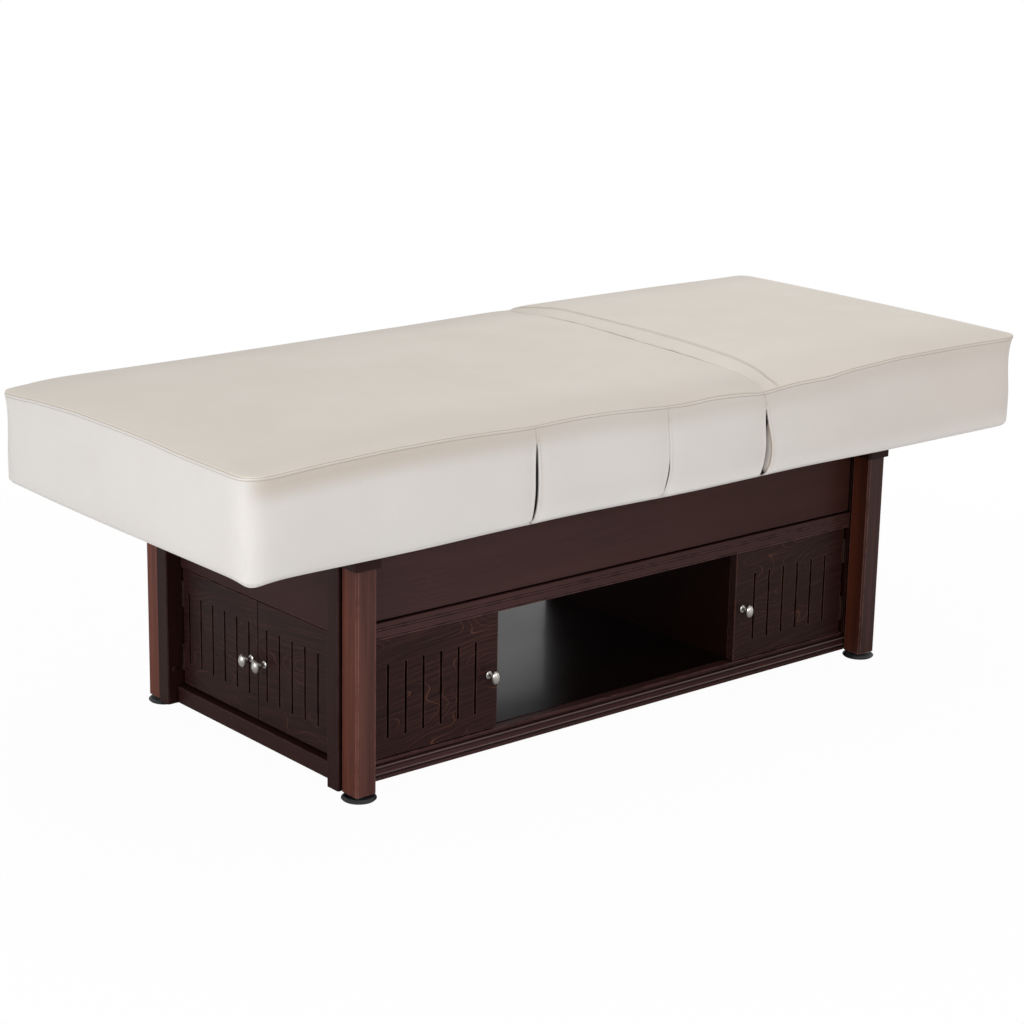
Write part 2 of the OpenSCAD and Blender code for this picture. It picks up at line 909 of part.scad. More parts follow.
module back_rod() {
    half = (back_pin_z - hinge_z + lever_r) / 2;
    color(nickel) placed()
        translate([back_pin_x, lever_y, back_rod_z])
            rod_and_yoke(-half, half, back_pin_x - fork_w / 2 - back_gland_x + back_stroke + tube_l / 3);
}

module knee_rod() {
    half = (knee_pin_z - hinge_z + lever_r) / 2;
    color(nickel) placed()
        translate([knee_pin_x, -lever_y, knee_rod_z])
            mirror([1, 0, 0])
                rod_and_yoke(-half, half,
                    knee_gland_x - knee_pin_x - fork_w / 2 + knee_stroke + tube_l / 3);
}

// Padding
// The outline of the padding follows its place along the bed: the sewn edge dips at
// each fold, the top is crowned and falls to the two ends, and the underside is drawn in.

function dip(x, at, depth) = depth * exp(-pow((x - at) / dip_w, 2));
function folds(x) = dip(x, back_x - valley_in, back_dip) + dip(x, thigh_x, thigh_dip)
    + dip(x, knee_x, knee_dip);
function end_room(x) = mattress_l / 2 - abs(x - head_shift);
function seam_z(x) = ref_z - folds(x);
function end_drop(x) = end_fall * pow(max(0, 1 - end_room(x) / end_fall_l), 2);
function crown(x) = crown_h + folds(x) * 0.55 - end_drop(x);
function half_w(x) = let (e = min(corner_r, max(0, end_room(x))))
    mattress_w / 2 - corner_r + sqrt(max(0, corner_r * corner_r - pow(corner_r - e, 2)));

// Places across the crowned top, as shares of the half width, from the edge to the middle
crown_shares = [0.965, 0.92, 0.85, 0.74, 0.6, 0.44, 0.28, 0.14];

// One half of the outline across the bed, from the middle of the underside to the top
function half_ring(x, in, recess) =
    let (w = half_w(x), s = seam_z(x), c = crown(x), h = s - pad_z,
        b = min(mattress_w / 2 - board_rim + board_slack, w - underside_in - in - ease))
        concat([[b, pad_z + recess], [b, pad_z], [w - underside_in - in, pad_z]],
            [for (a = [30:30:90]) [w - underside_in - in + (underside_in - side_bulge) * sin(a),
                pad_z + underside_in * (1 - cos(a))]],
            [[w - side_bulge / 3 - in, pad_z + h * 0.25], [w - in, pad_z + h * 0.42],
                [w - in, pad_z + h * 0.58], [w - in * 0.6 - side_bulge / 3, pad_z + h * 0.74],
                [w - side_bulge * 0.6, pad_z + h * 0.9], [w - seam_in, s]],
            [for (k = crown_shares) [(w - seam_in) * k, s + c * (1 - pow(k, 5))]]);

function ring(x, in, recess) =
    let (half = half_ring(x, in, recess), n = len(half))
        concat([[0, pad_z + recess]], half, [[0, seam_z(x) + crown(x)]],
            [for (k = [n - 1:-1:0]) [-half[k][0], half[k][1]]]);

// A closed pad through its stations: each is a place, a lean, a pinch and a recess
module pad(stations) {
    rings = [for (s = stations) [for (p = ring(s[0], s[2], s[3]))
        [s[0] + s[1] * (p[1] - ref_z), p[0], p[1]]]];
    m = len(rings[0]);
    n = len(rings);
    mid = [for (k = [0, n - 1]) (rings[k][0] + rings[k][(m - 1) / 2 + 0.5]) / 2];
    points = concat([for (r = rings) each r], mid);
    walls = [for (i = [0:n - 2]) for (j = [0:m - 1])
        each [[i * m + j, (i + 1) * m + j, i * m + (j + 1) % m],
            [(i + 1) * m + j, (i + 1) * m + (j + 1) % m, i * m + (j + 1) % m]]];
    caps = [for (j = [0:m - 1]) each [[n * m, j, (j + 1) % m],
        [n * m + 1, (n - 1) * m + (j + 1) % m, (n - 1) * m + j]]];
    color(hide) placed() polyhedron(points = points, faces = concat(walls, caps));
}

// Stations between two folds, dense near each and spaced evenly between them
function fold_stations(x0, lean0, x1, lean1, count) =
    let (d = x1 - x0, edge = pinch_l / d, shares = concat([0, edge], [for (k = [1:count - 1]) k / count],
        [1 - edge, 1]))
        [for (t = shares) [x0 + d * t, lean0 + (lean1 - lean0) * t,
            (t == 0 || t == 1) ? pinch : 0, ply_t + board_slack]];

// Stations round a free end: a quarter circle in plan, with the recess closed over
function end_stations(sx) =
    concat([for (r = [ply_t + board_slack, 0])
            [head_shift + sx * (mattress_l / 2 - board_end - (r > 0 ? face_gap : 0)), 0, 0, r]],
        [for (a = [60:-20:0]) [head_shift + sx * (mattress_l / 2 - corner_r * (1 - cos(a))), 0, 0, 0]]);

function hinge_ref(x, half, side, gap) = x + side * (lean(half) * ref_h + gap);

back_ref = hinge_ref(back_x, back_half, 1, face_gap);
seat_hi_ref = hinge_ref(back_x, back_half, -1, face_gap);
seat_lo_ref = hinge_ref(thigh_x, thigh_half, 1, face_gap);
thigh_ref = hinge_ref(thigh_x, thigh_half, -1, face_gap);

// Places along the back pad, as shares of its length, and the share over which it leans
back_shares = [0.11, 0.24, 0.38, 0.54, 0.7, 0.85];
back_lean_share = 0.54;

module back_pad() {
    run = head_shift + mattress_l / 2 - corner_r - back_ref;
    fold = [for (t = concat([0, pinch_l / run], back_shares))
        [back_ref + run * t, lean(back_half) * max(0, 1 - t / back_lean_share), t == 0 ? pinch : 0,
            ply_t + board_slack]];
    pad(concat(fold, end_stations(1)));
}

module seat_pad() {
    pad(fold_stations(seat_lo_ref, lean(thigh_half), seat_hi_ref, -lean(back_half), 8));
}

module thigh_pad() {
    pad(fold_stations(knee_x + face_gap, 0, thigh_ref, -lean(thigh_half), 10));
}

module calf_pad() {
    near = fold_stations(head_shift - mattress_l / 2 + 2 * corner_r, 0, knee_x - face_gap, 0, 9);
    body = [for (k = [1:len(near) - 1]) near[k]];
    far = end_stations(-1);
    pad(concat([for (k = [len(far) - 1:-1:0]) far[k]], body));
}

module back_fold() {
    pad([for (t = [0, 0.05, 0.17, 0.3, 0.42, 0.5, 0.62, 0.76, 0.9, 1])
        let (lo = seat_hi_ref + 2 * face_gap, hi = back_ref - 2 * face_gap)
            [lo + (hi - lo) * t, lean(back_half) * (2 * t - 1), (t == 0 || t == 1) ? pinch : 0,
                ply_t + board_slack]]);
}

module thigh_fold() {
    pad([for (t = [0, 0.2, 0.5, 0.8, 1])
        let (lo = thigh_ref + 2 * face_gap, hi = seat_lo_ref - 2 * face_gap)
            [lo + (hi - lo) * t, lean(thigh_half) * (2 * t - 1), (t == 0 || t == 1) ? pinch : 0,
                ply_t + board_slack]]);
}

module back_board() {
    board(back_x + face_gap, lean(back_half), head_shift + mattress_l / 2 - board_end - slide_gap, 0);
}

module seat_board() {
    board(thigh_x + face_gap, lean(thigh_half), back_x - face_gap, -lean(back_half));
}

module thigh_board() {
    board(knee_x + face_gap, 0, thigh_x - face_gap, -lean(thigh_half));
}

module calf_board() {
    board(head_shift - mattress_l / 2 + board_end + slide_gap, 0, knee_x - face_gap, 0);
}

// Levelling feet

module foot(sx, sy) {
    color(dark_plastic) placed()
        at_corner(sx, sy)
            translate([leg_cx, leg_cy, 0]) {
                rotate_extrude()
                    polygon([[0, 0], [foot_r - foot_edge, 0], [foot_r, foot_edge],
                        [foot_r, foot_disc_h - 2 * foot_edge],
                        [foot_r - 2 * foot_edge, foot_disc_h], [0, foot_disc_h]]);
                cylinder(r = foot_nut_r, h = foot_disc_h + foot_nut_h, $fn = 6);
                cylinder(r = stem_thread_r, h = stem_top);
            }
}

leg(-1, -1);  // leg_front_left
leg(1, -1);  // leg_front_right
leg(-1, 1);  // leg_rear_left
leg(1, 1);  // leg_rear_right
end_stiles();
end_rails();
base_mouldings();
top_mouldings();
cabinet_floor();
cabinet_deck();
partitions();
column_housings();
control_box();
door_hinges();
door_catches();
guide_posts();
leg_caps();
bed_rails();
side_aprons();
end_aprons();
column_rams();
actuators();
hinge_pins();
glide_strips();
seat_board();
seat_pad();
back_fold();
thigh_fold();
back_frame();
back_board();
back_pad();
thigh_frame();
thigh_board();
thigh_pad();
calf_frame();
calf_board();
calf_pad();
back_rod();
knee_rod();
side_door(-1, -1);  // front_left_door
side_knob(-1, -1);  // front_left_knob
side_door(1, -1);  // front_right_door
side_knob(1, -1);  // front_right_knob
side_door(-1, 1);  // rear_left_door
side_knob(-1, 1);  // rear_left_knob
side_door(1, 1);  // rear_right_door
side_knob(1, 1);  // rear_right_knob
end_door(-1, -1);  // left_end_front_door
end_knob(-1, -1);  // left_end_front_knob
end_door(-1, 1);  // left_end_rear_door
end_knob(-1, 1);  // left_end_rear_knob
end_door(1, -1);  // right_end_front_door
end_knob(1, -1);  // right_end_front_knob
end_door(1, 1);  // right_end_rear_door
end_knob(1, 1);  // right_end_rear_knob
foot(-1, -1);  // foot_front_left
foot(1, -1);  // foot_front_right
foot(-1, 1);  // foot_rear_left
foot(1, 1);  // foot_rear_right
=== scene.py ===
# %% [markdown]
# # A spa bed on a cabinet base
#
# This script dresses a finished CAD model: a leather mattress with a lifting back, on a dark
# stained cabinet with slotted doors. The CAD pieces come in as they are, at their real size
# and place. What is left to do is what CAD doesn't do well: soft leather, thread, wood figure
# and metal that looks turned. We load the model first and keep its outer box, because nothing
# that we add may make the bed bigger than it is.

# %% Load the CAD model
import bpy
import bmesh
import json
import math
import numpy as np
from mathutils import Matrix, Vector, noise
from mathutils.bvhtree import BVHTree


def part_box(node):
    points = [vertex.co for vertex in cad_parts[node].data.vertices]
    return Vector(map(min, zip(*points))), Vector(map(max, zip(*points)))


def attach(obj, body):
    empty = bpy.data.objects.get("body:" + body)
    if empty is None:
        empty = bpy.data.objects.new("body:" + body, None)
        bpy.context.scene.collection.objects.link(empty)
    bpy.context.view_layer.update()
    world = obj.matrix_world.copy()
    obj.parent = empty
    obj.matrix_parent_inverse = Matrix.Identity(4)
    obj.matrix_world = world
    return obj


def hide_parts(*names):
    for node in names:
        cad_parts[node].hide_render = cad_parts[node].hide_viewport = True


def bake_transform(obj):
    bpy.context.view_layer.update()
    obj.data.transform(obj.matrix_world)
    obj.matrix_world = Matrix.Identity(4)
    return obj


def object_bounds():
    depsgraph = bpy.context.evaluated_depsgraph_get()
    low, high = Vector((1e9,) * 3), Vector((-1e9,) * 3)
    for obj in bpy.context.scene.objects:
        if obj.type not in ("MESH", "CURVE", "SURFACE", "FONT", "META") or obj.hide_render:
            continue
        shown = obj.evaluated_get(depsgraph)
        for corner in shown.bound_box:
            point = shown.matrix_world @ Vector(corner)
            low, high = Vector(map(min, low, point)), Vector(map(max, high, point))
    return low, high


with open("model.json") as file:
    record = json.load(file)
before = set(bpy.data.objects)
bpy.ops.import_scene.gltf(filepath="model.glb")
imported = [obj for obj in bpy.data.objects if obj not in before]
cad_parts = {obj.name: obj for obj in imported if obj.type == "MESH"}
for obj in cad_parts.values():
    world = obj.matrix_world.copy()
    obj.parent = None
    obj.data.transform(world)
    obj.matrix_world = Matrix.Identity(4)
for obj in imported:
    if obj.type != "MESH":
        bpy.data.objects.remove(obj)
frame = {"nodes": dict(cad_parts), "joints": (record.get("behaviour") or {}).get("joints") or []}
cad_low, cad_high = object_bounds()
scene = bpy.context.scene
MM = 0.001
QUARTER = math.pi / 2
print("CAD box in metres:", tuple(round(c, 4) for c in cad_low), tuple(round(c, 4) for c in cad_high))

# %% [markdown]
# ## Small tools
#
# Shader trees and meshes are built in code here, so a few short helpers come first. Each one
# adds a node, feeds a socket or turns a bmesh into an object, and gives back what the next
# step needs. Wherever a helper takes a value for a socket, it takes another socket as well.

# %% Make helpers that add and feed nodes
def feed(tree, socket, value):
    """Feeds a socket from another socket, or writes a plain value into it."""
    if hasattr(value, "is_linked"):
        tree.links.new(value, socket)
    else:
        socket.default_value = value


def add_node(tree, kind, choices=(), **inputs):
    """Adds a shader node. Choices are pairs of its menu settings, and inputs go by their names."""
    node = tree.nodes.new("ShaderNode" + kind)
    for label, value in choices:
        setattr(node, label, value)
    for label, value in inputs.items():
        feed(tree, node.inputs[label.replace("_", " ")], value)
    return node


def maths(tree, operation, a, b=None):
    """One Math node."""
    node = add_node(tree, "Math", [("operation", operation)])
    feed(tree, node.inputs[0], a)
    if b is not None:
        feed(tree, node.inputs[1], b)
    return node.outputs[0]


def vector_maths(tree, operation, *vectors):
    """One Vector Math node."""
    node = add_node(tree, "VectorMath", [("operation", operation)])
    for socket, value in zip(node.inputs, vectors):
        feed(tree, socket, value)
    return node


def parts_of(tree, vector):
    """The X, Y and Z of a vector, as sockets."""
    return add_node(tree, "SeparateXYZ", Vector=vector).outputs


# %% Make helpers that mix and map
def ramp(tree, value, low, high, to_low=0.0, to_high=1.0):
    """Maps a value smoothly from one range to another, held at both ends."""
    return add_node(tree, "MapRange", [("interpolation_type", "SMOOTHSTEP")], Value=value, From_Min=low,
                    From_Max=high, To_Min=to_low, To_Max=to_high).outputs["Result"]


def mix_colour(tree, factor, a, b, blend="MIX"):
    """Mixes two colours. The node has sockets of every kind, and 6, 7 and output 2 are the colours."""
    node = add_node(tree, "Mix", [("data_type", "RGBA"), ("blend_type", blend)])
    for slot_at, value in ((0, factor), (6, a), (7, b)):
        feed(tree, node.inputs[slot_at], value)
    return node.outputs[2]


def mix_shader(tree, factor, a, b):
    """Mixes the outputs of two shader nodes."""
    node = add_node(tree, "MixShader")
    for slot_at, value in enumerate((factor, a.outputs[0], b.outputs[0])):
        feed(tree, node.inputs[slot_at], value)
    return node.outputs[0]


def noise_at(tree, vector, scale, detail=3.0, rough=0.5):
    """A noise texture on a vector."""
    return add_node(tree, "TexNoise", Vector=vector, Scale=scale, Detail=detail, Roughness=rough).outputs["Fac"]


def stretched(tree, vector, scale):
    """The vector times a scale for each axis."""
    return vector_maths(tree, "MULTIPLY", vector, scale).outputs[0]


# %% Make helpers for meshes
def mesh_from(bm, name):
    """Turns a bmesh into a mesh and frees it."""
    mesh = bpy.data.meshes.new(name)
    bm.to_mesh(mesh)
    bm.free()
    return mesh


def add_object(name, data):
    """Puts a mesh, a lamp or a camera into the scene."""
    obj = bpy.data.objects.new(name, data)
    scene.collection.objects.link(obj)
    return obj


def shade_smooth(mesh):
    """Gives every face of a mesh smooth shading."""
    for polygon in mesh.polygons:
        polygon.use_smooth = True


def read_vectors(items, label):
    """One vector of each vertex, face or attribute value, as the rows of an array."""
    values = np.empty(len(items) * 3, np.float32)
    items.foreach_get(label, values)
    return values.reshape(-1, 3).astype(float)


def write_vectors(items, label, values):
    """Writes the rows of an array back."""
    items.foreach_set(label, values.astype(np.float32).ravel())


# %% [markdown]
# ## The camera
#
# The camera stands about five metres from the bed, at head height, and looks down on the
# corner between the foot end and the long front side. A long lens keeps the verticals nearly
# parallel, as in a catalogue picture. The direction is given as two angles, a turn about the
# vertical and a tilt down, with a slight roll.

# %% Place the camera
CAMERA_AT = Vector((-3.1177, -3.6418, 1.7056))
CAMERA_TURN = 0.87213
CAMERA_TILT = 0.27944
CAMERA_ROLL = -0.01881
LENS_MM = 90.964
FILM_MM = 36


def look_rotation(turn, tilt, roll):
    """The rotation of a camera that looks along a turn from +X and a tilt below level."""
    ahead = Vector((math.cos(turn) * math.cos(tilt), math.sin(turn) * math.cos(tilt), -math.sin(tilt)))
    right = ahead.cross(Vector((0, 0, 1))).normalized()
    down = ahead.cross(right)
    across = math.cos(roll) * right + math.sin(roll) * down
    below = -math.sin(roll) * right + math.cos(roll) * down
    return Matrix((across, -below, -ahead)).transposed()


camera_data = bpy.data.cameras.new("bed_camera")
camera_data.sensor_width = FILM_MM
camera_data.lens = LENS_MM
camera_data.clip_end = 60
camera = add_object("bed_camera", camera_data)
camera_turn = look_rotation(CAMERA_TURN, CAMERA_TILT, CAMERA_ROLL).to_4x4()
camera.matrix_world = Matrix.Translation(CAMERA_AT) @ camera_turn
scene.camera = camera
print("lens", LENS_MM, "mm, camera at", tuple(CAMERA_AT))

# %% [markdown]
# ## Light, floor and background
#
# The bed is shown on white with soft light. One large lamp stands in front of the long side,
# a second one to the left lights the foot end, and a weak one hangs overhead towards the head
# end. A small warm lamp at the right makes the far end of the side a little yellower, as a
# wooden studio wall would. The world gives the rest. Where the camera, or a
# reflection, sees past the floor it finds plain white, through the Light Path node. The floor
# itself is a pale surface that takes the shadow. What the camera sees of it is mostly plain
# white, so the shadow stays faint, and it is all white further out, so there is no horizon.

# %% Set up the world and the lamps
SKY_STRENGTH = 0.50
GLOSSY_WHITE = 0.5
scene.view_settings.view_transform = "Standard"
world = bpy.data.worlds.new("studio")
scene.world = world
world.use_nodes = True
sky = world.node_tree
sky.nodes.clear()
ray = add_node(sky, "LightPath").outputs
ambient = add_node(sky, "Background", Color=(0.97, 0.98, 1.0, 1), Strength=SKY_STRENGTH)
white = add_node(sky, "Background", Color=(1, 1, 1, 1), Strength=1.0)
in_mirror = maths(sky, "MULTIPLY", ray["Is Glossy Ray"], GLOSSY_WHITE)
sees_white = maths(sky, "MAXIMUM", ray["Is Camera Ray"], in_mirror)
add_node(sky, "OutputWorld", Surface=mix_shader(sky, sees_white, ambient, white))


def add_lamp(name, at, target, width, height, watts, colour=(1, 1, 1)):
    """A rectangular lamp that faces a target."""
    data = bpy.data.lights.new(name, "AREA")
    data.shape = "RECTANGLE"
    data.size, data.size_y = width, height
    data.energy = watts
    data.color = colour
    lamp = add_object(name, data)
    lamp.location = at
    lamp.rotation_euler = (Vector(target) - Vector(at)).to_track_quat("-Z", "Y").to_euler()


add_lamp("front_lamp", (-0.9, -4.2, 2.0), (0.0, 0, 0.45), 3.0, 2.2, 39, (1, 0.99, 0.975))
add_lamp("warm_lamp", (3.6, -2.4, 1.2), (0.5, 0, 0.45), 1.6, 1.6, 9, (1, 0.78, 0.58))
add_lamp("left_lamp", (-4.4, -0.9, 1.35), (-0.4, 0, 0.4), 2.2, 1.8, 57, (1, 0.995, 0.99))
add_lamp("top_lamp", (1.6, 0.6, 3.3), (0.3, 0, 0.6), 2.6, 2.4, 27)

# %% Lay the floor
FLOOR_HALF = 14.0
FLOOR_DROP = 0.5 * MM
FADE_FROM, FADE_TO = 1.0, 2.4
NEAR_WHITE = 0.97
bm = bmesh.new()
bmesh.ops.create_grid(bm, x_segments=2, y_segments=2, size=FLOOR_HALF)
floor = add_object("floor", mesh_from(bm, "floor"))
floor.location.z = -FLOOR_DROP
floor_finish = bpy.data.materials.new("floor_finish")
floor_finish.use_nodes = True
ground = floor_finish.node_tree
ground.nodes.clear()
place = add_node(ground, "TexCoord").outputs["Object"]
reach = vector_maths(ground, "LENGTH", place).outputs["Value"]
whiteness = ramp(ground, reach, FADE_FROM, FADE_TO, NEAR_WHITE)
seen_white = maths(ground, "MULTIPLY", whiteness, add_node(ground, "LightPath").outputs["Is Camera Ray"])
matt = add_node(ground, "BsdfDiffuse", Color=(0.90, 0.90, 0.90, 1))
glow = add_node(ground, "Emission", Strength=1.0)
add_node(ground, "OutputMaterial", Surface=mix_shader(ground, seen_white, matt, glow))
floor.data.materials.append(floor_finish)
print("floor is", 2 * FLOOR_HALF, "m square")

# %% [markdown]
# ## Effects that several finishes share
#
# Wood figure, edges that are worn and carry a painted highlight, painted shade in crevices,
# leather grain and the fine unevenness of any handled surface are each built once, as a node
# group with named inputs, and every material places the group with its own values. The groups
# put out only colours and masks that change over the surface. The shader itself stays in the
# material, where its plain numbers can be read.

# %% Make a helper for node groups
def new_group(name, inputs, outputs):
    """A shader node group with float, vector or colour sockets. Inputs are (name, kind, value)."""
    kinds = {"float": "NodeSocketFloat", "vector": "NodeSocketVector", "colour": "NodeSocketColor"}
    tree = bpy.data.node_groups.new(name, "ShaderNodeTree")
    for label, kind, value in inputs:
        socket = tree.interface.new_socket(label, in_out="INPUT", socket_type=kinds[kind])
        if value is not None:
            socket.default_value = value
    for label, kind in outputs:
        tree.interface.new_socket(label, in_out="OUTPUT", socket_type=kinds[kind])
    return tree, tree.nodes.new("NodeGroupInput").outputs, tree.nodes.new("NodeGroupOutput").inputs


# %% [markdown]
# ### Wood figure
#
# The cabinet is veneered plywood and solid beech, stained almost black. Under the stain the
# figure shows in three ways: fine fibres along the grain, slow bands where the stain took
# more or less, and thin reddish growth lines that run in long curves. The growth lines are
# contour lines of a stretched noise: a wave of its value gives nested curves, as a slice
# through a tree does, and raising that wave to a high power leaves only thin threads.

# %% Build the wood figure group
wood_figure, given, put = new_group(
    "wood_figure",
    [("Vector", "vector", None), ("Dark", "colour", (0.03, 0.02, 0.018, 1)),
     ("Red", "colour", (0.1, 0.04, 0.03, 1)), ("Line Count", "float", 9.0), ("Line Strength", "float", 0.5),
     ("Band Strength", "float", 0.4), ("Band Count", "float", 11.0)],
    [("Colour", "colour"), ("Fibre", "float")])
slow = noise_at(wood_figure, stretched(wood_figure, given["Vector"], (1.0, 2.6, 2.6)), 2.6, 2.0, 0.45)
wave = maths(wood_figure, "PINGPONG", maths(wood_figure, "MULTIPLY", slow, given["Line Count"]), 0.5)
thin_line = ramp(wood_figure, wave, 0.055, 0.0)
patches = ramp(wood_figure, noise_at(wood_figure, given["Vector"], 7.0, 2.0), 0.42, 0.62)
some_lines = maths(wood_figure, "MULTIPLY", thin_line, patches)
line_mask = maths(wood_figure, "MULTIPLY", some_lines, given["Line Strength"])
fibre = noise_at(wood_figure, stretched(wood_figure, given["Vector"], (7.0, 260.0, 260.0)), 1.0, 3.0, 0.6)
band_scale = add_node(wood_figure, "CombineXYZ", X=1.3, Y=given["Band Count"], Z=given["Band Count"]).outputs[0]
band_noise = noise_at(wood_figure, stretched(wood_figure, given["Vector"], band_scale), 1.0, 3.0, 0.55)
band_mask = maths(wood_figure, "MULTIPLY", ramp(wood_figure, band_noise, 0.35, 0.75), given["Band Strength"])
fibre_mask = ramp(wood_figure, fibre, 0.35, 0.75, 0.0, 0.30)
masks = maths(wood_figure, "MAXIMUM", maths(wood_figure, "MAXIMUM", band_mask, fibre_mask), line_mask)
feed(wood_figure, put["Colour"], mix_colour(wood_figure, masks, given["Dark"], given["Red"]))
feed(wood_figure, put["Fibre"], fibre)
print("wood_figure has", len(wood_figure.nodes), "nodes")

# %% [markdown]
# ### Worn edges with a painted highlight
#
# Where two faces meet, the edges show a fine pale reddish line: stain rubbed thin, and a
# painted highlight, strongest on the legs.
# The Bevel node gives the normal that a rounded edge would have. Where that differs from the
# true normal there is an edge, and the size of the difference is the mask.

# %% Build the edge wear and highlight group
EDGE_RADIUS = 2.2 * MM
edge_wear, given, put = new_group(
    "edge_wear", [("Vector", "vector", None), ("Amount", "float", 0.6)], [("Mask", "float")])
rounded = add_node(edge_wear, "Bevel", [("samples", 4)], Radius=EDGE_RADIUS).outputs["Normal"]
true_normal = add_node(edge_wear, "NewGeometry").outputs["Normal"]
agree = vector_maths(edge_wear, "DOT_PRODUCT", rounded, true_normal).outputs["Value"]
edge = ramp(edge_wear, agree, 0.985, 0.90)
broken = ramp(edge_wear, noise_at(edge_wear, given["Vector"], 38.0, 3.0, 0.6), 0.3, 0.62)
some_edges = maths(edge_wear, "MULTIPLY", edge, broken)
feed(edge_wear, put["Mask"], maths(edge_wear, "MULTIPLY", some_edges, given["Amount"]))
print("edges are worn over", EDGE_RADIUS / MM, "mm")

# %% [markdown]
# ### Painted shade in crevices
#
# The slots, the grooves of the mouldings and the gaps round the doors get a painted shade:
# hardly any light gets there, so these lines look black. The Ambient Occlusion node says how
# much of its surroundings a point sees within a few millimetres: all of them on an open face,
# and little inside a groove.

# %% Build the crevice shade group
CREVICE_REACH = 9 * MM
crevice, given, put = new_group(
    "crevice", [("Reach", "float", CREVICE_REACH), ("Amount", "float", 0.9)], [("Mask", "float")])
openness = add_node(crevice, "AmbientOcclusion", [("samples", 6)], Distance=given["Reach"]).outputs["AO"]
feed(crevice, put["Mask"], maths(crevice, "MULTIPLY", ramp(crevice, openness, 0.80, 0.38), given["Amount"]))
print("crevices darken within", CREVICE_REACH / MM, "mm")

# %% [markdown]
# ### Leather grain
#
# The cover is a soft, lightly pebbled leather. Up close it has small cells with creases
# between them, and from a step away slow clouds where it is a little more or less matt. A
# Voronoi texture's distance to the edge makes the cells, at about a millimetre and a half,
# and a little noise bends them so that they don't look like a honeycomb.

# %% Build the leather grain group
leather_grain, given, put = new_group(
    "leather_grain", [("Vector", "vector", None), ("Cell Size", "float", 1.0)],
    [("Height", "float"), ("Cloud", "float"), ("Crease", "float")])
bend = add_node(leather_grain, "TexNoise", Vector=given["Vector"], Scale=160.0, Detail=2.0).outputs["Color"]
bend_by = stretched(leather_grain, bend, (0.0032, 0.0032, 0.0032))
bent = vector_maths(leather_grain, "ADD", given["Vector"], bend_by).outputs[0]
cells = add_node(leather_grain, "TexVoronoi", [("feature", "DISTANCE_TO_EDGE")], Vector=bent,
                 Scale=maths(leather_grain, "DIVIDE", 620.0, given["Cell Size"])).outputs["Distance"]
pebble = ramp(leather_grain, cells, 0.0, 0.22)
pores = noise_at(leather_grain, given["Vector"], 1500.0, 2.0, 0.6)
height = maths(leather_grain, "ADD", maths(leather_grain, "MULTIPLY", pebble, 0.7),
               maths(leather_grain, "MULTIPLY", pores, 0.3))
feed(leather_grain, put["Height"], height)
feed(leather_grain, put["Cloud"], noise_at(leather_grain, given["Vector"], 5.5, 4.0, 0.55))
feed(leather_grain, put["Crease"], ramp(leather_grain, pebble, 1.0, 0.0))
print("leather_grain has", len(leather_grain.nodes), "nodes")

# %% [markdown]
# ### Handled surfaces
#
# Nothing that people touch is equally shiny all over. This group gives a slow smudge and a
# fine scatter of specks, and each finish uses them to move its roughness up and down.

# %% Build the handling group
handled, given, put = new_group("handled", [("Vector", "vector", None), ("Scale", "float", 1.0)],
                                [("Smudge", "float"), ("Speck", "float")])
scaled = vector_maths(handled, "SCALE", given["Vector"])
feed(handled, scaled.inputs["Scale"], given["Scale"])
feed(handled, put["Smudge"], ramp(handled, noise_at(handled, scaled.outputs[0], 9.0, 5.0, 0.6), 0.3, 0.7))
feed(handled, put["Speck"], ramp(handled, noise_at(handled, scaled.outputs[0], 420.0, 2.0, 0.6), 0.60, 0.78))
print("groups:", [g.name for g in bpy.data.node_groups])

# %% [markdown]
# ## The finishes
#
# Each finish is one Principled shader. Its plain numbers, such as metal, sheen or coat, are
# set on the shader's own sockets, and the groups above drive what changes over the surface.
# Every pattern reads Object coordinates, which for these pieces are metres in the bed's own
# frame, so neighbouring boards share one scale.

# %% Make helpers for materials
def new_finish(name, roughness, **plain):
    """A material with a Principled shader and its Object coordinates. Returns them with the tree."""
    material = bpy.data.materials.new(name)
    material.use_nodes = True
    tree = material.node_tree
    shader = tree.nodes["Principled BSDF"]
    shader.inputs["Roughness"].default_value = roughness
    for label, value in plain.items():
        shader.inputs[label.replace("_", " ")].default_value = value
    return material, tree, shader, add_node(tree, "TexCoord").outputs["Object"]


def colour_and_gloss(tree, shader, colour, roughness):
    """Feeds the shader's colour and roughness."""
    feed(tree, shader.inputs["Base Color"], colour)
    feed(tree, shader.inputs["Roughness"], roughness)


def use_group(tree, group, **values):
    """Places a node group and feeds its inputs. Returns its outputs."""
    node = tree.nodes.new("ShaderNodeGroup")
    node.node_tree = group
    for label, value in values.items():
        feed(tree, node.inputs[label.replace("_", " ")], value)
    return node.outputs


def turned(tree, vector, location=(0, 0, 0), rotation=(0, 0, 0)):
    """A Mapping node that moves and turns a pattern."""
    return add_node(tree, "Mapping", Vector=vector, Location=location, Rotation=rotation).outputs[0]


def bump(tree, shader, height, strength, distance):
    """Feeds a height through a Bump node to the shader's normal."""
    raised = add_node(tree, "Bump", Strength=strength, Distance=distance, Height=height)
    feed(tree, shader.inputs["Normal"], raised.outputs[0])


def tinted(tree, colour, tint):
    """A colour times a tint."""
    return mix_colour(tree, 1.0, colour, (*tint, 1), "MULTIPLY")


# %% [markdown]
# ### Stained wood
#
# All the boards share one stain, but they don't look alike: each takes it more or less, and a
# painted shade makes the cabinet darker towards the head end. So one helper makes every wood,
# and each board has its own two colours, the way its grain runs, and how strong its lines and
# bands are.

# %% Make a helper for stained wood
CABINET_END = 0.62
PAINTED_GAP_SHADE = (0.006, 0.0025, 0.0018, 1)
PAINTED_BEAD_HIGHLIGHT = (0.26, 0.20, 0.20, 1)
DEEP_SHADE = (0.0016, 0.0008, 0.0007, 1)


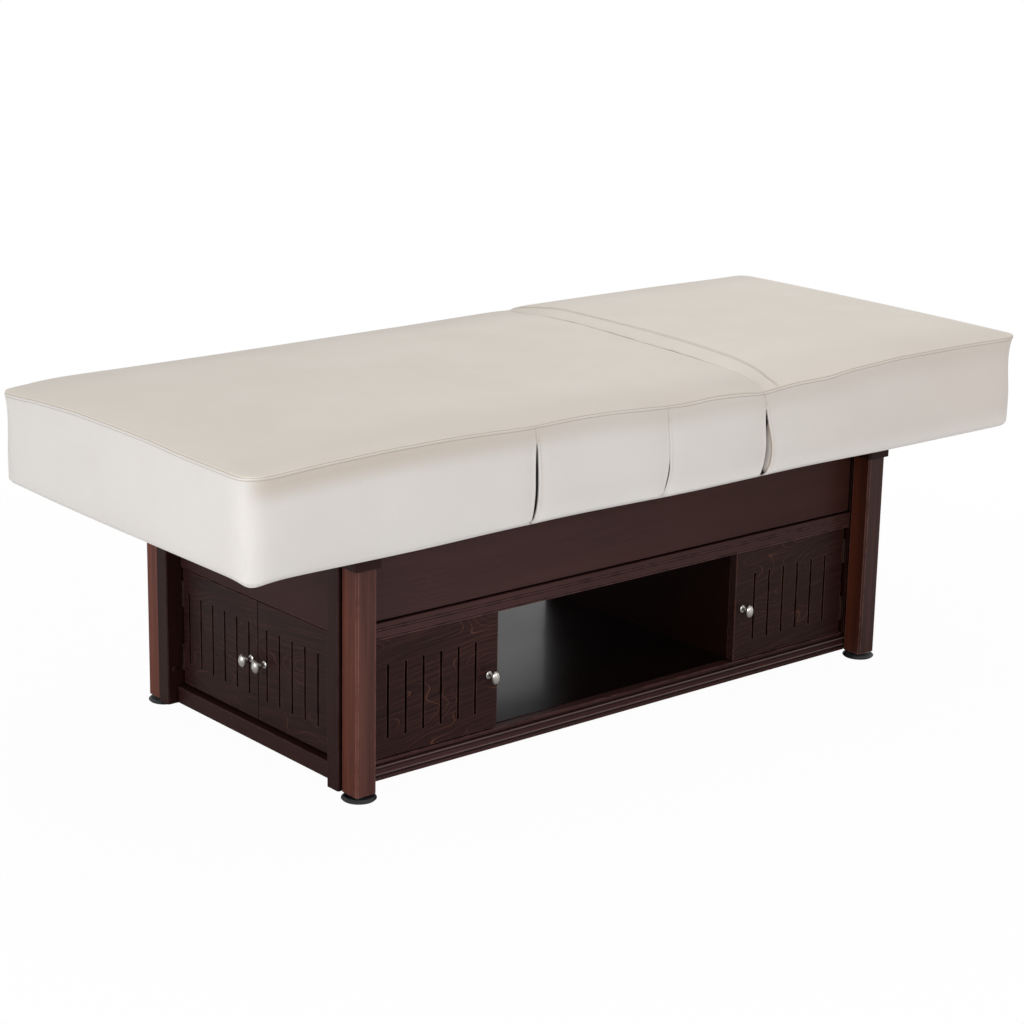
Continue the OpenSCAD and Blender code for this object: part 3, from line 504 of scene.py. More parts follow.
def stained_wood(name, dark, red, rotation, offset=(0, 0, 0), line_count=9.0, line_strength=0.5,
                 band_strength=0.4, band_count=11.0, roughness=0.42, wear_and_highlight=0.6, shine=0.12,
                 painted_head_shade=(0.7, 0.65, 0.6), painted_end_light=None, grooves=(), beads=(), meets=()):
    """Stained wood with its grain along local X.

    The painted head shade is reached at the head end of the cabinet, and the painted end light
    lies on faces that look along the bed. Grooves and beads are the heights of lines of painted
    shade and of painted highlight along a moulding. Meets are the places across the bed where two
    doors meet, and a line of painted shade marks the gap there.
    """
    material, tree, shader, place = new_finish(name, roughness, Specular_IOR_Level=shine)
    figure = use_group(tree, wood_figure, Vector=turned(tree, place, offset, rotation), Dark=(*dark, 1),
                       Red=(*red, 1), Line_Count=line_count, Line_Strength=line_strength,
                       Band_Strength=band_strength, Band_Count=band_count)
    worn_and_lit = use_group(tree, edge_wear, Vector=place, Amount=wear_and_highlight)["Mask"]
    at = parts_of(tree, place)
    # Painted shade: the wood grows darker towards the head end.
    colour = mix_colour(tree, ramp(tree, at["X"], -CABINET_END, CABINET_END), figure["Colour"],
                        tinted(tree, figure["Colour"], painted_head_shade))
    # Painted light: faces that look along the bed are lighter and more orange.
    if painted_end_light:
        facing = parts_of(tree, add_node(tree, "NewGeometry").outputs["Normal"])
        on_end = ramp(tree, maths(tree, "ABSOLUTE", facing["X"]), 0.75, 0.95)
        colour = mix_colour(tree, on_end, colour, tinted(tree, colour, painted_end_light))
    # Worn edges with a painted highlight: a pale reddish line along the edges.
    edge_wear_and_highlight_colour = tuple(min(1.0, c * 1.6 + 0.05 * wear_and_highlight) for c in red) + (1,)
    colour = mix_colour(tree, worn_and_lit, colour, edge_wear_and_highlight_colour)
    # Painted shade in the moulding grooves and in the gap where two doors meet, and painted highlights on the
    # beads.
    for axis, lines_at, half, strength, line_colour in (("Z", grooves, 1.3 * MM, 0.80, PAINTED_GAP_SHADE),
                                                        ("Z", beads, 1.0 * MM, 0.55, PAINTED_BEAD_HIGHLIGHT),
                                                        ("Y", meets, 2.9 * MM, 0.92, PAINTED_GAP_SHADE)):
        for line_at in lines_at:
            off = maths(tree, "ABSOLUTE", maths(tree, "SUBTRACT", at[axis], line_at))
            colour = mix_colour(tree, ramp(tree, off, half, half * 0.4, 0.0, strength), colour, line_colour)
    # Painted shade in the crevices, where the Ambient Occlusion node finds little open surroundings.
    crevice_shade_mask = use_group(tree, crevice, Reach=CREVICE_REACH, Amount=0.92)["Mask"]
    smudge = use_group(tree, handled, Vector=place, Scale=1.0)["Smudge"]
    uneven = maths(tree, "ADD", maths(tree, "MULTIPLY", smudge, 0.10),
                   maths(tree, "MULTIPLY", figure["Fibre"], 0.10))
    colour_and_gloss(tree, shader, mix_colour(tree, crevice_shade_mask, colour, DEEP_SHADE),
                     maths(tree, "ADD", uneven, roughness - 0.10))
    bump(tree, shader, figure["Fibre"], 0.10, 0.6 * MM)
    return material


# %% Mix the stained woods
UPRIGHT, LEVEL, ACROSS = (0, QUARTER, 0), (0, 0, 0), (0, 0, -QUARTER)
top_low, top_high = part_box("top_mouldings")
base_low, base_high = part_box("base_mouldings")
# Heights of the lines of painted shade in the grooves and of painted highlight on the beads.
BEAD_R = 2.4 * MM
BAND = (base_high.z - base_low.z - 4 * BEAD_R) / 3
TOP_GROOVES = [top_low.z + share * (top_high.z - top_low.z) for share in (0.1, 0.53, 0.69)]
BASE_GROOVES = [base_low.z + h for h in (BAND - 1 * MM, 2 * BAND + 2 * BEAD_R - 1 * MM,
                                         2 * BAND + 4 * BEAD_R + 1 * MM)]
BASE_BEADS = [base_low.z + h for h in (BAND + 1.3 * BEAD_R, 2 * BAND + 3.3 * BEAD_R)]

leg_wood = stained_wood(
    "leg_wood", (0.054, 0.0185, 0.0150), (0.165, 0.0570, 0.0430), UPRIGHT, (0.3, 0, 0), line_count=5.0,
    line_strength=0.18, band_strength=0.62, band_count=75.0, roughness=0.38, wear_and_highlight=1.0, shine=0.20,
    painted_head_shade=(0.50, 0.50, 0.47), painted_end_light=(1.40, 1.00, 0.70))
stile_wood = stained_wood(
    "stile_wood", (0.019, 0.0058, 0.0048), (0.044, 0.0150, 0.0115), UPRIGHT, (0.9, 0, 0), line_count=5.0,
    line_strength=0.15, band_strength=0.45, roughness=0.40)
RAIL = {"dark": (0.050, 0.0215, 0.0210), "red": (0.112, 0.0460, 0.0400), "rotation": LEVEL,
        "offset": (0, 0.2, 0.1), "line_count": 6.0, "line_strength": 0.2, "band_strength": 0.55,
        "roughness": 0.36}
top_rail_wood = stained_wood("top_rail_wood", painted_head_shade=(0.62, 0.55, 0.48), grooves=TOP_GROOVES, **RAIL)
base_rail_wood = stained_wood(
    "base_rail_wood", painted_head_shade=(0.58, 0.48, 0.40), grooves=BASE_GROOVES, beads=BASE_BEADS, **RAIL)
end_rail_wood = stained_wood(
    "end_rail_wood", (0.025, 0.0088, 0.0078), (0.056, 0.020, 0.016), ACROSS, (0, 0.4, 0.1), line_count=6.0,
    line_strength=0.25, band_strength=0.4)
side_door_wood = stained_wood(
    "side_door_wood", (0.0172, 0.0060, 0.0064), (0.125, 0.0480, 0.0300), (0, 0.10, 0), (0.4, 0.0, 0.7),
    line_count=34.0, line_strength=1.0, band_strength=0.16, roughness=0.42)
end_door_wood = stained_wood(
    "end_door_wood", (0.0140, 0.0047, 0.0050), (0.098, 0.0360, 0.0260), (0.12, 0, -QUARTER), (0.1, 0.5, 0.2),
    line_count=34.0, line_strength=1.0, band_strength=0.14, roughness=0.42, meets=(0.0,))
side_apron_wood = stained_wood(
    "side_apron_wood", (0.046, 0.0210, 0.0205), (0.100, 0.0460, 0.0410), (0, 0.02, 0), (1.7, 0, 0.3),
    line_count=8.0, line_strength=0.22, band_strength=0.42, roughness=0.44, painted_head_shade=(0.69, 0.50, 0.40))
end_apron_wood = stained_wood(
    "end_apron_wood", (0.030, 0.0110, 0.0098), (0.064, 0.0260, 0.0225), ACROSS, (0.2, 1.1, 0), line_count=16.0,
    line_strength=0.5, band_strength=0.35, roughness=0.44)
inner_wood = stained_wood(
    "inner_wood", (0.0120, 0.0032, 0.0022), (0.027, 0.0082, 0.0052), LEVEL, (0.5, 0.5, 0), line_count=12.0,
    line_strength=0.3, band_strength=0.3, roughness=0.46, wear_and_highlight=0.3, shine=0.04)
print("stained woods:", [m.name for m in bpy.data.materials if m.name.endswith("_wood")])

# %% [markdown]
# The shelf is the same wood under a thick clear lacquer, nearly black, so it mirrors what is
# behind it. A coat on the shader does that: it is a second, smooth reflecting layer over the
# colour.

# %% Lacquer the shelf
shelf_lacquer, tree, shader, place = new_finish("shelf_lacquer", 0.34, Coat_Weight=0.22, Coat_Roughness=0.12,
                                                Specular_IOR_Level=0.2)
figure = use_group(tree, wood_figure, Vector=turned(tree, place, (0, 0.3, 0)), Dark=(0.0042, 0.0014, 0.0012, 1),
                   Red=(0.009, 0.0030, 0.0022, 1), Line_Count=8.0, Line_Strength=0.25, Band_Strength=0.3)
smudge = use_group(tree, handled, Vector=place, Scale=0.7)["Smudge"]
colour_and_gloss(tree, shader, figure["Colour"], ramp(tree, smudge, 0.0, 1.0, 0.30, 0.34))
bump(tree, shader, noise_at(tree, place, 60.0, 1.0), 0.004, 0.3 * MM)
print("shelf_lacquer has a coat of", round(shader.inputs["Coat Weight"].default_value, 2))

# %% Mix the bare plywood
# The boards under the pads are plain plywood. Their edges show its layers.
bare_ply, tree, shader, place = new_finish("bare_ply", 0.62)
figure = use_group(tree, wood_figure, Vector=turned(tree, place, (0, 0.3, 0)), Dark=(0.48, 0.33, 0.19, 1),
                   Red=(0.36, 0.22, 0.115, 1), Line_Count=14.0, Line_Strength=0.6, Band_Strength=0.5)
layers = add_node(tree, "TexWave", [("bands_direction", "Z")], Vector=place, Scale=100.0,
                  Distortion=0.4).outputs["Fac"]
facing = parts_of(tree, add_node(tree, "NewGeometry").outputs["Normal"])
edge_share = ramp(tree, maths(tree, "ABSOLUTE", facing["Z"]), 0.8, 0.4)
layer_mask = maths(tree, "MULTIPLY", maths(tree, "MULTIPLY", layers, edge_share), 0.55)
feed(tree, shader.inputs["Base Color"], mix_colour(tree, layer_mask, figure["Colour"], (0.26, 0.15, 0.08, 1)))
bump(tree, shader, figure["Fibre"], 0.15, 0.6 * MM)
print("bare_ply has", len(tree.nodes), "nodes")

# %% [markdown]
# ### Metals and plastics
#
# The knobs are satin plated, and the plating has dulled in patches. The hinges are bronze,
# nearly as dark as the wood. The hidden frame is powder coated, which leaves a soft
# orange-peel surface. The feet and the strips are plain moulded nylon, and the posts are
# steel, brushed up and down.

# %% Finish the metals and the plastics
def touched(name, roughness, spread, clean, dull, gloss, pits, pit_strength, pit_depth=0.2 * MM, drift=None,
            gloss_from="Smudge", **plain):
    """Metal, paint or plastic whose colour and gloss drift where hands have been, with fine pits.

    Spread is how close together the smudges lie, gloss the range of the roughness, and pits how
    close together the pits lie. Drift holds the colour's change back.
    """
    material, tree, shader, place = new_finish(name, roughness, **plain)
    touch = use_group(tree, handled, Vector=place, Scale=spread)
    share = ramp(tree, touch["Smudge"], 0.0, 1.0, 0.0, drift) if drift else touch["Smudge"]
    colour_and_gloss(tree, shader, mix_colour(tree, share, (*clean, 1), (*dull, 1)),
                     ramp(tree, touch[gloss_from], 0.0, 1.0, *gloss))
    bump(tree, shader, noise_at(tree, place, pits, 2.0), pit_strength, pit_depth)
    return material


satin_nickel = touched("satin_nickel", 0.25, 9.0, (0.58, 0.56, 0.53), (0.36, 0.34, 0.31), (0.22, 0.33),
                       900.0, 0.05, drift=0.5, Metallic=1.0)
aged_bronze = touched("aged_bronze", 0.50, 6.0, (0.022, 0.010, 0.008), (0.040, 0.019, 0.014), (0.34, 0.52),
                      700.0, 0.08, Metallic=0.35, Specular_IOR_Level=0.15)
frame_paint = touched("frame_paint", 0.48, 1.5, (0.018, 0.018, 0.019), (0.028, 0.028, 0.029), (0.44, 0.58),
                      520.0, 0.22, pit_depth=0.4 * MM, gloss_from="Speck")
moulded_black = touched("moulded_black", 0.42, 4.0, (0.009, 0.010, 0.012), (0.016, 0.017, 0.020), (0.34, 0.50),
                        1400.0, 0.10)

brushed_steel, tree, shader, place = new_finish("brushed_steel", 0.34, Metallic=1.0)
brush = noise_at(tree, stretched(tree, place, (900.0, 900.0, 22.0)), 1.0, 3.0, 0.6)
streaks = ramp(tree, brush, 0.3, 0.7)
colour_and_gloss(tree, shader, mix_colour(tree, streaks, (0.56, 0.57, 0.58, 1), (0.70, 0.70, 0.71, 1)),
                 ramp(tree, brush, 0.3, 0.7, 0.26, 0.42))
bump(tree, shader, brush, 0.12, 0.2 * MM)
print("finishes so far:", len(bpy.data.materials))

# %% Dress the CAD pieces
FINISHES = {
    "leg_caps": stile_wood, "end_stiles": stile_wood, "end_rails": end_rail_wood,
    "base_mouldings": base_rail_wood, "top_mouldings": top_rail_wood, "cabinet_floor": shelf_lacquer,
    "cabinet_deck": inner_wood, "partitions": inner_wood, "side_aprons": side_apron_wood,
    "end_aprons": end_apron_wood, "column_housings": frame_paint, "guide_posts": brushed_steel,
    "column_rams": brushed_steel, "bed_rails": frame_paint, "hinge_pins": brushed_steel,
    "glide_strips": moulded_black, "actuators": moulded_black, "control_box": moulded_black,
    "door_hinges": aged_bronze, "door_catches": moulded_black, "seat_board": bare_ply,
    "back_board": bare_ply, "thigh_board": bare_ply, "calf_board": bare_ply,
    "back_frame": frame_paint, "thigh_frame": frame_paint, "calf_frame": frame_paint,
    "back_rod": brushed_steel, "knee_rod": brushed_steel,
}
BY_PART_OF_NAME = (("_knob", satin_nickel), ("_end_front_door", end_door_wood),
                   ("_end_rear_door", end_door_wood), ("_door", side_door_wood), ("leg_", leg_wood),
                   ("foot_", moulded_black))


def finish_for(node):
    """The finish of a CAD node, by its whole name or else by a part of it."""
    if node in FINISHES:
        return FINISHES[node]
    return next((finish for part, finish in BY_PART_OF_NAME if part in node), None)


dressed = [node for node in frame["nodes"] if finish_for(node)]
for node in dressed:
    materials = frame["nodes"][node].data.materials
    materials.clear()
    materials.append(finish_for(node))
print("dressed", len(dressed), "CAD nodes")

# %% Give some pieces a second finish
# A knob's node also holds the moving leaves of its door's hinges, and a foot has a steel nut on
# its nylon disc. Those faces are told apart by where they are.
LEAF_REACH = 45 * MM
NUT_Z = 7.1 * MM
joint_at = {j["name"]: j["pos_m"] for j in frame["joints"] if "pos_m" in j}


def second_finish(node, finish, belongs):
    """Gives a second finish to the faces of a node whose centre passes a test."""
    mesh = frame["nodes"][node].data
    mesh.materials.append(finish)
    chosen_faces = [p for p in mesh.polygons if belongs(p.center)]
    for polygon in chosen_faces:
        polygon.material_index = 1
    print(node, "has", len(chosen_faces), "faces of", finish.name)


for node in frame["nodes"]:
    if node.endswith("_knob"):
        hinge_at = Vector(joint_at[node.removesuffix("_knob") + "_door_hinge"])
        second_finish(node, aged_bronze, lambda c: (c.xy - hinge_at.xy).length < LEAF_REACH)
    elif node.startswith("foot_"):
        second_finish(node, brushed_steel, lambda c: c.z > NUT_Z)


# %% [markdown]
# ## The mattress
#
# The mattress is thick foam in a fitted leather cover. The cover is a flat top panel, with a
# crown of a finger's width, sewn to tall side panels by a doubled seam that runs all round.
# Both long sides are split by pleats where the sections hinge, so that the cover can open
# there. Across the top, over the back hinge, a narrow gusset strip lies between a fold and a
# doubled seam.
#
# We make it from one fine box. Its grid lines are close together where there will be a seam
# or a pleat and wide elsewhere. The box is first moved into the padded form, then a short
# cloth simulation lets the foam push the leather out, and the seams come last, because a
# simulation would blur them.

# %% Take the sizes of the mattress from the CAD pads
foot_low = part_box("calf_pad")[0]
head_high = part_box("back_pad")[1]
X0, X1 = foot_low.x, head_high.x
MID_X = (X0 + X1) / 2
HALF_W = head_high.y
BED_Z = foot_low.z
BACK_X, THIGH_X, KNEE_X = (joint_at[hinge][0] for hinge in ("back_hinge", "thigh_hinge", "calf_hinge"))
SEAM_H = 181 * MM
CORNER_R = 36 * MM
FOLD_X = BACK_X - 13 * MM
STRIP_W = 44 * MM
BOARD_RIM = 26 * MM
BOARD_T = 17 * MM
print("mattress", round(X1 - X0, 4), "by", round(2 * HALF_W, 4), "m, hinges at x", [BACK_X, THIGH_X, KNEE_X])

# %% [markdown]
# Each pleat starts as a closed seam at the top edge and opens further down. We describe it by
# a few points that go from the bottom (0) to the seam (1): how far its left edge leans from
# its place at the seam, and how wide it gapes, both in millimetres. The knee pleat is an
# open slit. The thigh pleat stays nearly shut. The back pleat opens like a leaf, and a tongue
# of lining shows in it. A smooth curve through the points does the rest. Reach and deep are how
# far a pleat spreads along the bed, and how far it goes into the side.

# %% Describe the pleats
def curve_through(points, x):
    """A smooth curve through a few chosen (place, value) points, level wherever it turns back."""
    at, value = np.array(points, float).T
    rise = np.diff(value) / np.diff(at)
    slope = np.zeros_like(value)
    same = rise[:-1] * rise[1:] > 0
    slope[1:-1][same] = 2 / (1 / rise[:-1][same] + 1 / rise[1:][same])
    k = np.clip(np.searchsorted(at, x) - 1, 0, len(at) - 2)
    run = at[k + 1] - at[k]
    s = np.clip((x - at[k]) / run, 0, 1)
    return (value[k] * (1 + 2 * s) * (1 - s) ** 2 + value[k + 1] * (3 - 2 * s) * s ** 2
            + run * (slope[k] * s * (1 - s) ** 2 - slope[k + 1] * s ** 2 * (1 - s)))


PLEATS = {
    "knee": {"at": KNEE_X + 4 * MM, "reach": 9 * MM, "deep": 18 * MM,
             "lean": ((0, -1), (0.06, 1), (0.2, 3), (0.45, 5), (0.8, 9), (1, 0)),
             "gape": ((0, 1.5), (0.06, 3), (0.2, 5.2), (0.5, 5), (0.7, 3), (0.83, 0), (1, 0)), "lining": False},
    "thigh": {"at": THIGH_X - 1 * MM, "reach": 8 * MM, "deep": 5 * MM,
              "lean": ((0, 1), (0.12, 3), (0.3, 8), (0.6, 11.5), (0.82, 8), (1, 0)),
              "gape": ((0, 0), (0.12, 0.6), (0.25, 0.9), (0.45, 0.2), (0.82, 0), (1, 0)), "lining": False},
    "back": {"at": FOLD_X + 1 * MM, "reach": 24 * MM, "deep": 18 * MM,
             "lean": ((0, 7), (0.06, 10), (0.2, 16), (0.45, 19), (0.78, 20), (0.86, 16), (0.95, 9), (1, 0)),
             "gape": ((0, 14), (0.06, 15), (0.13, 17), (0.25, 16), (0.48, 10), (0.65, 5), (0.8, 0), (1, 0)),
             "lining": True},
}
for label, pleat in PLEATS.items():
    print(label, "pleat at x", round(pleat["at"], 4), "opens", max(w for t, w in pleat["gape"]), "mm")


# %% Choose where the grid lines lie
COARSE = 14 * MM
SAMPLES, SOFTEN = 6001, 25


def lines(low, high, spacing, dense):
    """Places from low to high, spaced evenly except near the places in dense: (at, reach, spacing)."""
    fine = np.linspace(low, high, SAMPLES)
    density = np.full_like(fine, 1.0 / spacing)
    for at, reach_, near in dense:
        density = np.maximum(density, np.where(np.abs(fine - at) < reach_, 1.0 / near, 0.0))
    density = np.convolve(np.pad(density, SOFTEN // 2, mode="edge"), np.ones(SOFTEN) / SOFTEN, mode="valid")
    total = np.concatenate([[0], np.cumsum((density[1:] + density[:-1]) / 2 * np.diff(fine))])
    return np.interp(np.linspace(0, total[-1], int(round(total[-1])) + 1), total, fine)


near_ends = [(at, 14 * MM, 2.6 * MM) for at in (X0, X1)]
near_strip = [(FOLD_X, 10 * MM, 2.2 * MM), (FOLD_X + STRIP_W, 12 * MM, 2.2 * MM)]
near_pleats = [(p["at"] + p["reach"] / 2 - 3 * MM, p["reach"] / 2 + 5 * MM, 1.7 * MM) for p in PLEATS.values()]
x_lines = lines(X0, X1, COARSE, near_ends + near_strip + near_pleats)
y_lines = lines(-HALF_W, HALF_W, COARSE, [(at, 16 * MM, 2.4 * MM) for at in (-HALF_W, HALF_W)])
z_lines = lines(0, 1, 0.062, [(0, 0.07, 0.018), (1, 0.075, 0.013)])
print("grid lines:", len(x_lines), len(y_lines), len(z_lines))

# %% Build the fine box
# The grid operator gives even steps from -1 to 1. Pushing it up makes the walls, and cuts in
# the upright edges make their rows. Each point's steps are kept, and its true place is looked
# up from the lines above.
nx, ny, nz = len(x_lines) - 1, len(y_lines) - 1, len(z_lines) - 1
bm = bmesh.new()
bmesh.ops.create_grid(bm, x_segments=nx, y_segments=ny, size=1.0)
bmesh.ops.reverse_faces(bm, faces=bm.faces[:])
raised = bmesh.ops.extrude_face_region(bm, geom=bm.faces[:], use_keep_orig=True)
top_verts = [v for v in raised["geom"] if isinstance(v, bmesh.types.BMVert)]
bmesh.ops.translate(bm, verts=top_verts, vec=(0, 0, 1))
uprights = [e for e in bm.edges if abs(e.verts[0].co.z - e.verts[1].co.z) > 0.5]
bmesh.ops.subdivide_edges(bm, edges=uprights, cuts=nz - 1, use_grid_fill=True)
bmesh.ops.recalc_face_normals(bm, faces=bm.faces[:])
box_mesh = mesh_from(bm, "mattress_box")
steps = read_vectors(box_mesh.vertices, "co")
flat = np.stack([
    np.interp((steps[:, 0] + 1) / 2 * nx, np.arange(nx + 1), x_lines),
    np.interp((steps[:, 1] + 1) / 2 * ny, np.arange(ny + 1), y_lines),
    np.interp(steps[:, 2] * nz, np.arange(nz + 1), z_lines)], axis=1)
print("fine box:", len(box_mesh.vertices), "points,", len(box_mesh.polygons), "faces")

# %% [markdown]
# ### The padded form
#
# Now each point moves to where foam and leather would hold it. The upright corners are
# rounded by mapping the corner square onto a quarter disc. The bottom edge rolls under. Along
# the two sides the cover is hollow just under the seam, which leaves a soft shade there, and
# full further down. The seam isn't straight: on the near side it sinks at every hinge, most
# at the back, and on the far side it hardly sinks, but the far corner at the foot end droops.
# The top has a rolled edge a finger wide, a shallow dip behind it and then a low dome. It also
# dips before the fold, rises over the strip and stays a little lower after it. Those three
# heights are in millimetres.

# %% Say how the seam and the skirt run
def bell(x, at, width):
    """A smooth hump of height 1."""
    return np.exp(-((x - at) / width) ** 2)


THIGH_SINK, FOLD_SINK, MIDDLE_RISE = 3, 6, 0.9
SINK_IN = 0.15
END_SINK_IN = 80 * MM
NEAR_SINK = ((X0, 2), (-0.83, -1), (-0.74, -3.5), (-0.65, -5.5), (-0.55, -5.7), (-0.48, -4.4), (-0.41, -1.6),
             (KNEE_X, 0.6), (-0.25, -1.3), (-0.19, 0), (-0.08, 6.3), (THIGH_X, 10), (0.02, 11), (0.07, 9.4),
             (0.12, 10.8), (0.17, 14.6), (FOLD_X, 18), (FOLD_X + STRIP_W, 15), (0.30, 11.5), (0.37, 11.3),
             (0.44, 5), (0.51, 2), (0.575, -0.8), (X1 - 0.2, -1), (X1, 2))
FAR_SINK = ((X0, 4), (-0.50, 6), (THIGH_X, 5), (FOLD_X - 0.04, 3.6), (FOLD_X + 0.02, 5.5),
            (FOLD_X + 0.075, 0.4), (0.36, 0), (0.64, 1), (X1, 4))
FOOT_END_SINK = ((-HALF_W, 3), (-0.26, 2), (-0.19, 1), (-0.11, -2.3), (0, -3.1), (0.12, -2.7), (0.21, 1),
                 (0.26, 3.5), (0.31, 7.5), (HALF_W, 12))
SKIRT_RISE = ((X0, 1.5), (-0.60, 0), (-0.41, 2.2), (-0.27, 3), (0.06, -1.4), (0.30, 0), (0.60, -3.6),
              (X1, -4.2))
FAR_CORNER_RISE, NEAR_CORNER_DROP = 4, 6


def seam_sink(x, y):
    """How far the sewn edge, and the top beside it, lies below its usual height, in millimetres."""
    middle = THIGH_SINK * bell(x, THIGH_X, 0.11) + FOLD_SINK * bell(x, FOLD_X, 0.075) - MIDDLE_RISE
    near = (curve_through(NEAR_SINK, x) - middle) * np.exp(-(y + HALF_W) / SINK_IN)
    far = (curve_through(FAR_SINK, x) - middle) * np.exp(-(HALF_W - y) / SINK_IN)
    sides = middle + near + far
    return sides + (curve_through(FOOT_END_SINK, y) - sides) * bell(x, X0, END_SINK_IN)


def seam_height(x, y):
    """The height of the sewn edge."""
    return BED_Z + SEAM_H - seam_sink(x, y) * MM


def skirt_rise(x, y):
    """How far the bottom edge of the cover rises above the board it is pulled under."""
    foot_end = bell(x, X0, 50 * MM)
    corners = (FAR_CORNER_RISE * bell(y, HALF_W, 0.15) * foot_end
               - NEAR_CORNER_DROP * bell(y, -HALF_W, 35 * MM) * foot_end)
    return (curve_through(SKIRT_RISE, x) * np.clip(-y / HALF_W, 0, 1) + corners) * MM


# %% Bow the fold and the strip across the top
# The fold and the strip's seam are sewn straight, but the top has been pulled, and they bow
# towards the head. The grid lines under them move too, so the seams stay on grid lines.
FOLD_BOW = ((-HALF_W, 0), (-0.385, 10), (-0.337, 26), (-0.29, 30), (-0.13, 28), (0.02, 32), (0.10, 38),
            (0.17, 44), (0.30, 45), (HALF_W, 40))
STRIP_BOW = ((-HALF_W, 0), (-0.37, 2), (-0.327, 17), (-0.26, 31), (-0.21, 36), (-0.07, 41), (0.08, 44),
             (0.16, 47), (0.31, 56), (0.345, 45), (HALF_W, 15))
BOW_BEFORE, BOW_AFTER = 0.30, 0.34
LEAN_REACH = 45 * MM


def fall(distance, reach_):
    """1 at no distance, falling smoothly to 0 at the reach."""
    u = np.clip(distance / reach_, 0, 1)
    return 1 - u * u * (3 - 2 * u)


def bowed(x, y):
    """How far a point of the top moves along the bed."""
    fold, strip = curve_through(FOLD_BOW, y), curve_through(STRIP_BOW, y)
    share = np.clip((x - FOLD_X) / STRIP_W, 0, 1)
    fading = fall(FOLD_X - x, BOW_BEFORE) * fall(x - FOLD_X - STRIP_W, BOW_AFTER)
    return (fold + (strip - fold) * share) * fading * MM


def leaned(x, t):
    """How far a point of a long side moves along the bed to follow its pleat."""
    shift = np.zeros_like(x)
    for pleat in PLEATS.values():
        beyond = np.maximum(pleat["at"] - 5 * MM - x, x - pleat["at"] - pleat["reach"])
        shift += curve_through(pleat["lean"], t) * fall(beyond, LEAN_REACH) * MM
    return shift


# %% Say how the top and the sides swell
ROLL_H, ROLL_RUN = 5.5 * MM, 14 * MM
DISH_H, DISH_AT, DISH_W = 1.6 * MM, 60 * MM, 30 * MM
DOME_H, DOME_RUN, DOME_POWER = 12.5 * MM, 0.30, 2.2
FOLD_DIP, FOLD_RUN = 3.0, 22 * MM
STRIP_RISE = 5.0
AFTER_DIP, AFTER_RUN = 1.5, 0.10
CALM = 50 * MM
HEM_SHARE, HEM_ROLL = 0.05, 8 * MM
BELLY, BELLY_TOP = (0.5 * MM, 2.0 * MM), 0.40
TURN_IN, TURN_SHARE = 1.0 * MM, 0.93
HOLLOW, HOLLOW_AT, HOLLOW_RUN = 7 * MM, 0.76, 0.46
ON_EDGE = 1e-6


def dome_share(room, run):
    """How much of the dome's height is reached, by the room to the edge and how far the rise runs."""
    return 1 - (1 - np.clip(room / run, 0, 1)) ** DOME_POWER


def crown(x, y):
    """How far the top panel stands above the seam line."""
    room_x = np.minimum(x - X0, X1 - x)
    room_y = HALF_W - np.abs(y)
    room = np.minimum(room_x, room_y)
    roll = ROLL_H * (1 - np.exp(-np.clip(room, 0, 1) / ROLL_RUN))
    dish = DISH_H * bell(room, DISH_AT, DISH_W)
    dome = DOME_H * dome_share(room_x, DOME_RUN) * dome_share(room_y, HALF_W)
    past = x - FOLD_X
    before = -FOLD_DIP * np.exp(np.minimum(past, 0) / FOLD_RUN)
    strip = np.where(past < 0, before, -FOLD_DIP + STRIP_RISE * np.clip(past / STRIP_W, 0, 1) ** 0.7)
    after = np.where(past > STRIP_W, -AFTER_DIP * (1 - np.exp(-np.maximum(past - STRIP_W, 0) / AFTER_RUN)), 0)
    inner = np.clip(room_y / CALM, 0, 1) * np.clip(room_x / CALM, 0, 1)
    return roll - dish + dome + (strip + after) * inner * MM


def drawn_in(t, long_share):
    """How far a side stands in from its widest line, by its share of the height."""
    hem = HEM_ROLL * np.where(t < HEM_SHARE, 1 - np.sqrt(np.clip(1 - (1 - t / HEM_SHARE) ** 2, 0, 1)), 0)
    low = (BELLY[0] + BELLY[1] * long_share) * np.clip(1 - t / BELLY_TOP, 0, 1) ** 1.6
    up = np.clip((t - HOLLOW_AT) / (1 - HOLLOW_AT), 0, 1)
    hollow = HOLLOW * np.where(t > HOLLOW_AT, 1 - up ** 1.6, fall(HOLLOW_AT - t, HOLLOW_RUN)) * long_share
    return hem + low + hollow + TURN_IN * np.clip((t - TURN_SHARE) / (1 - TURN_SHARE), 0, 1) ** 2


# %% Round the corners of the plan
def from_centre(p):
    """Each point's place in the plan from the bed's centre, and the half sizes to its corners' centres."""
    return np.stack([p[:, 0] - MID_X, p[:, 1]], axis=1), np.array([(X1 - X0) / 2, HALF_W]) - CORNER_R


def round_corners(p):
    """Maps each corner square of the plan onto a quarter disc."""
    out = p.copy()
    rel, straight = from_centre(p)
    over = (np.abs(rel) - straight) / CORNER_R
    inside = (over > 0).all(axis=1)
    a, b = over[inside, 0], over[inside, 1]
    disc = np.stack([a * np.sqrt(1 - b * b / 2), b * np.sqrt(1 - a * a / 2)], axis=1)
    out[inside, :2] = np.sign(rel[inside]) * (straight + disc * CORNER_R) + np.array([MID_X, 0])
    return out


def outward(p):
    """The level direction out of the rounded plan at each point of the sides."""
    rel, straight = from_centre(p)
    away = np.sign(rel) * np.maximum(np.abs(rel) - straight, 0)
    return away / np.maximum(np.linalg.norm(away, axis=1, keepdims=True), 1e-9)


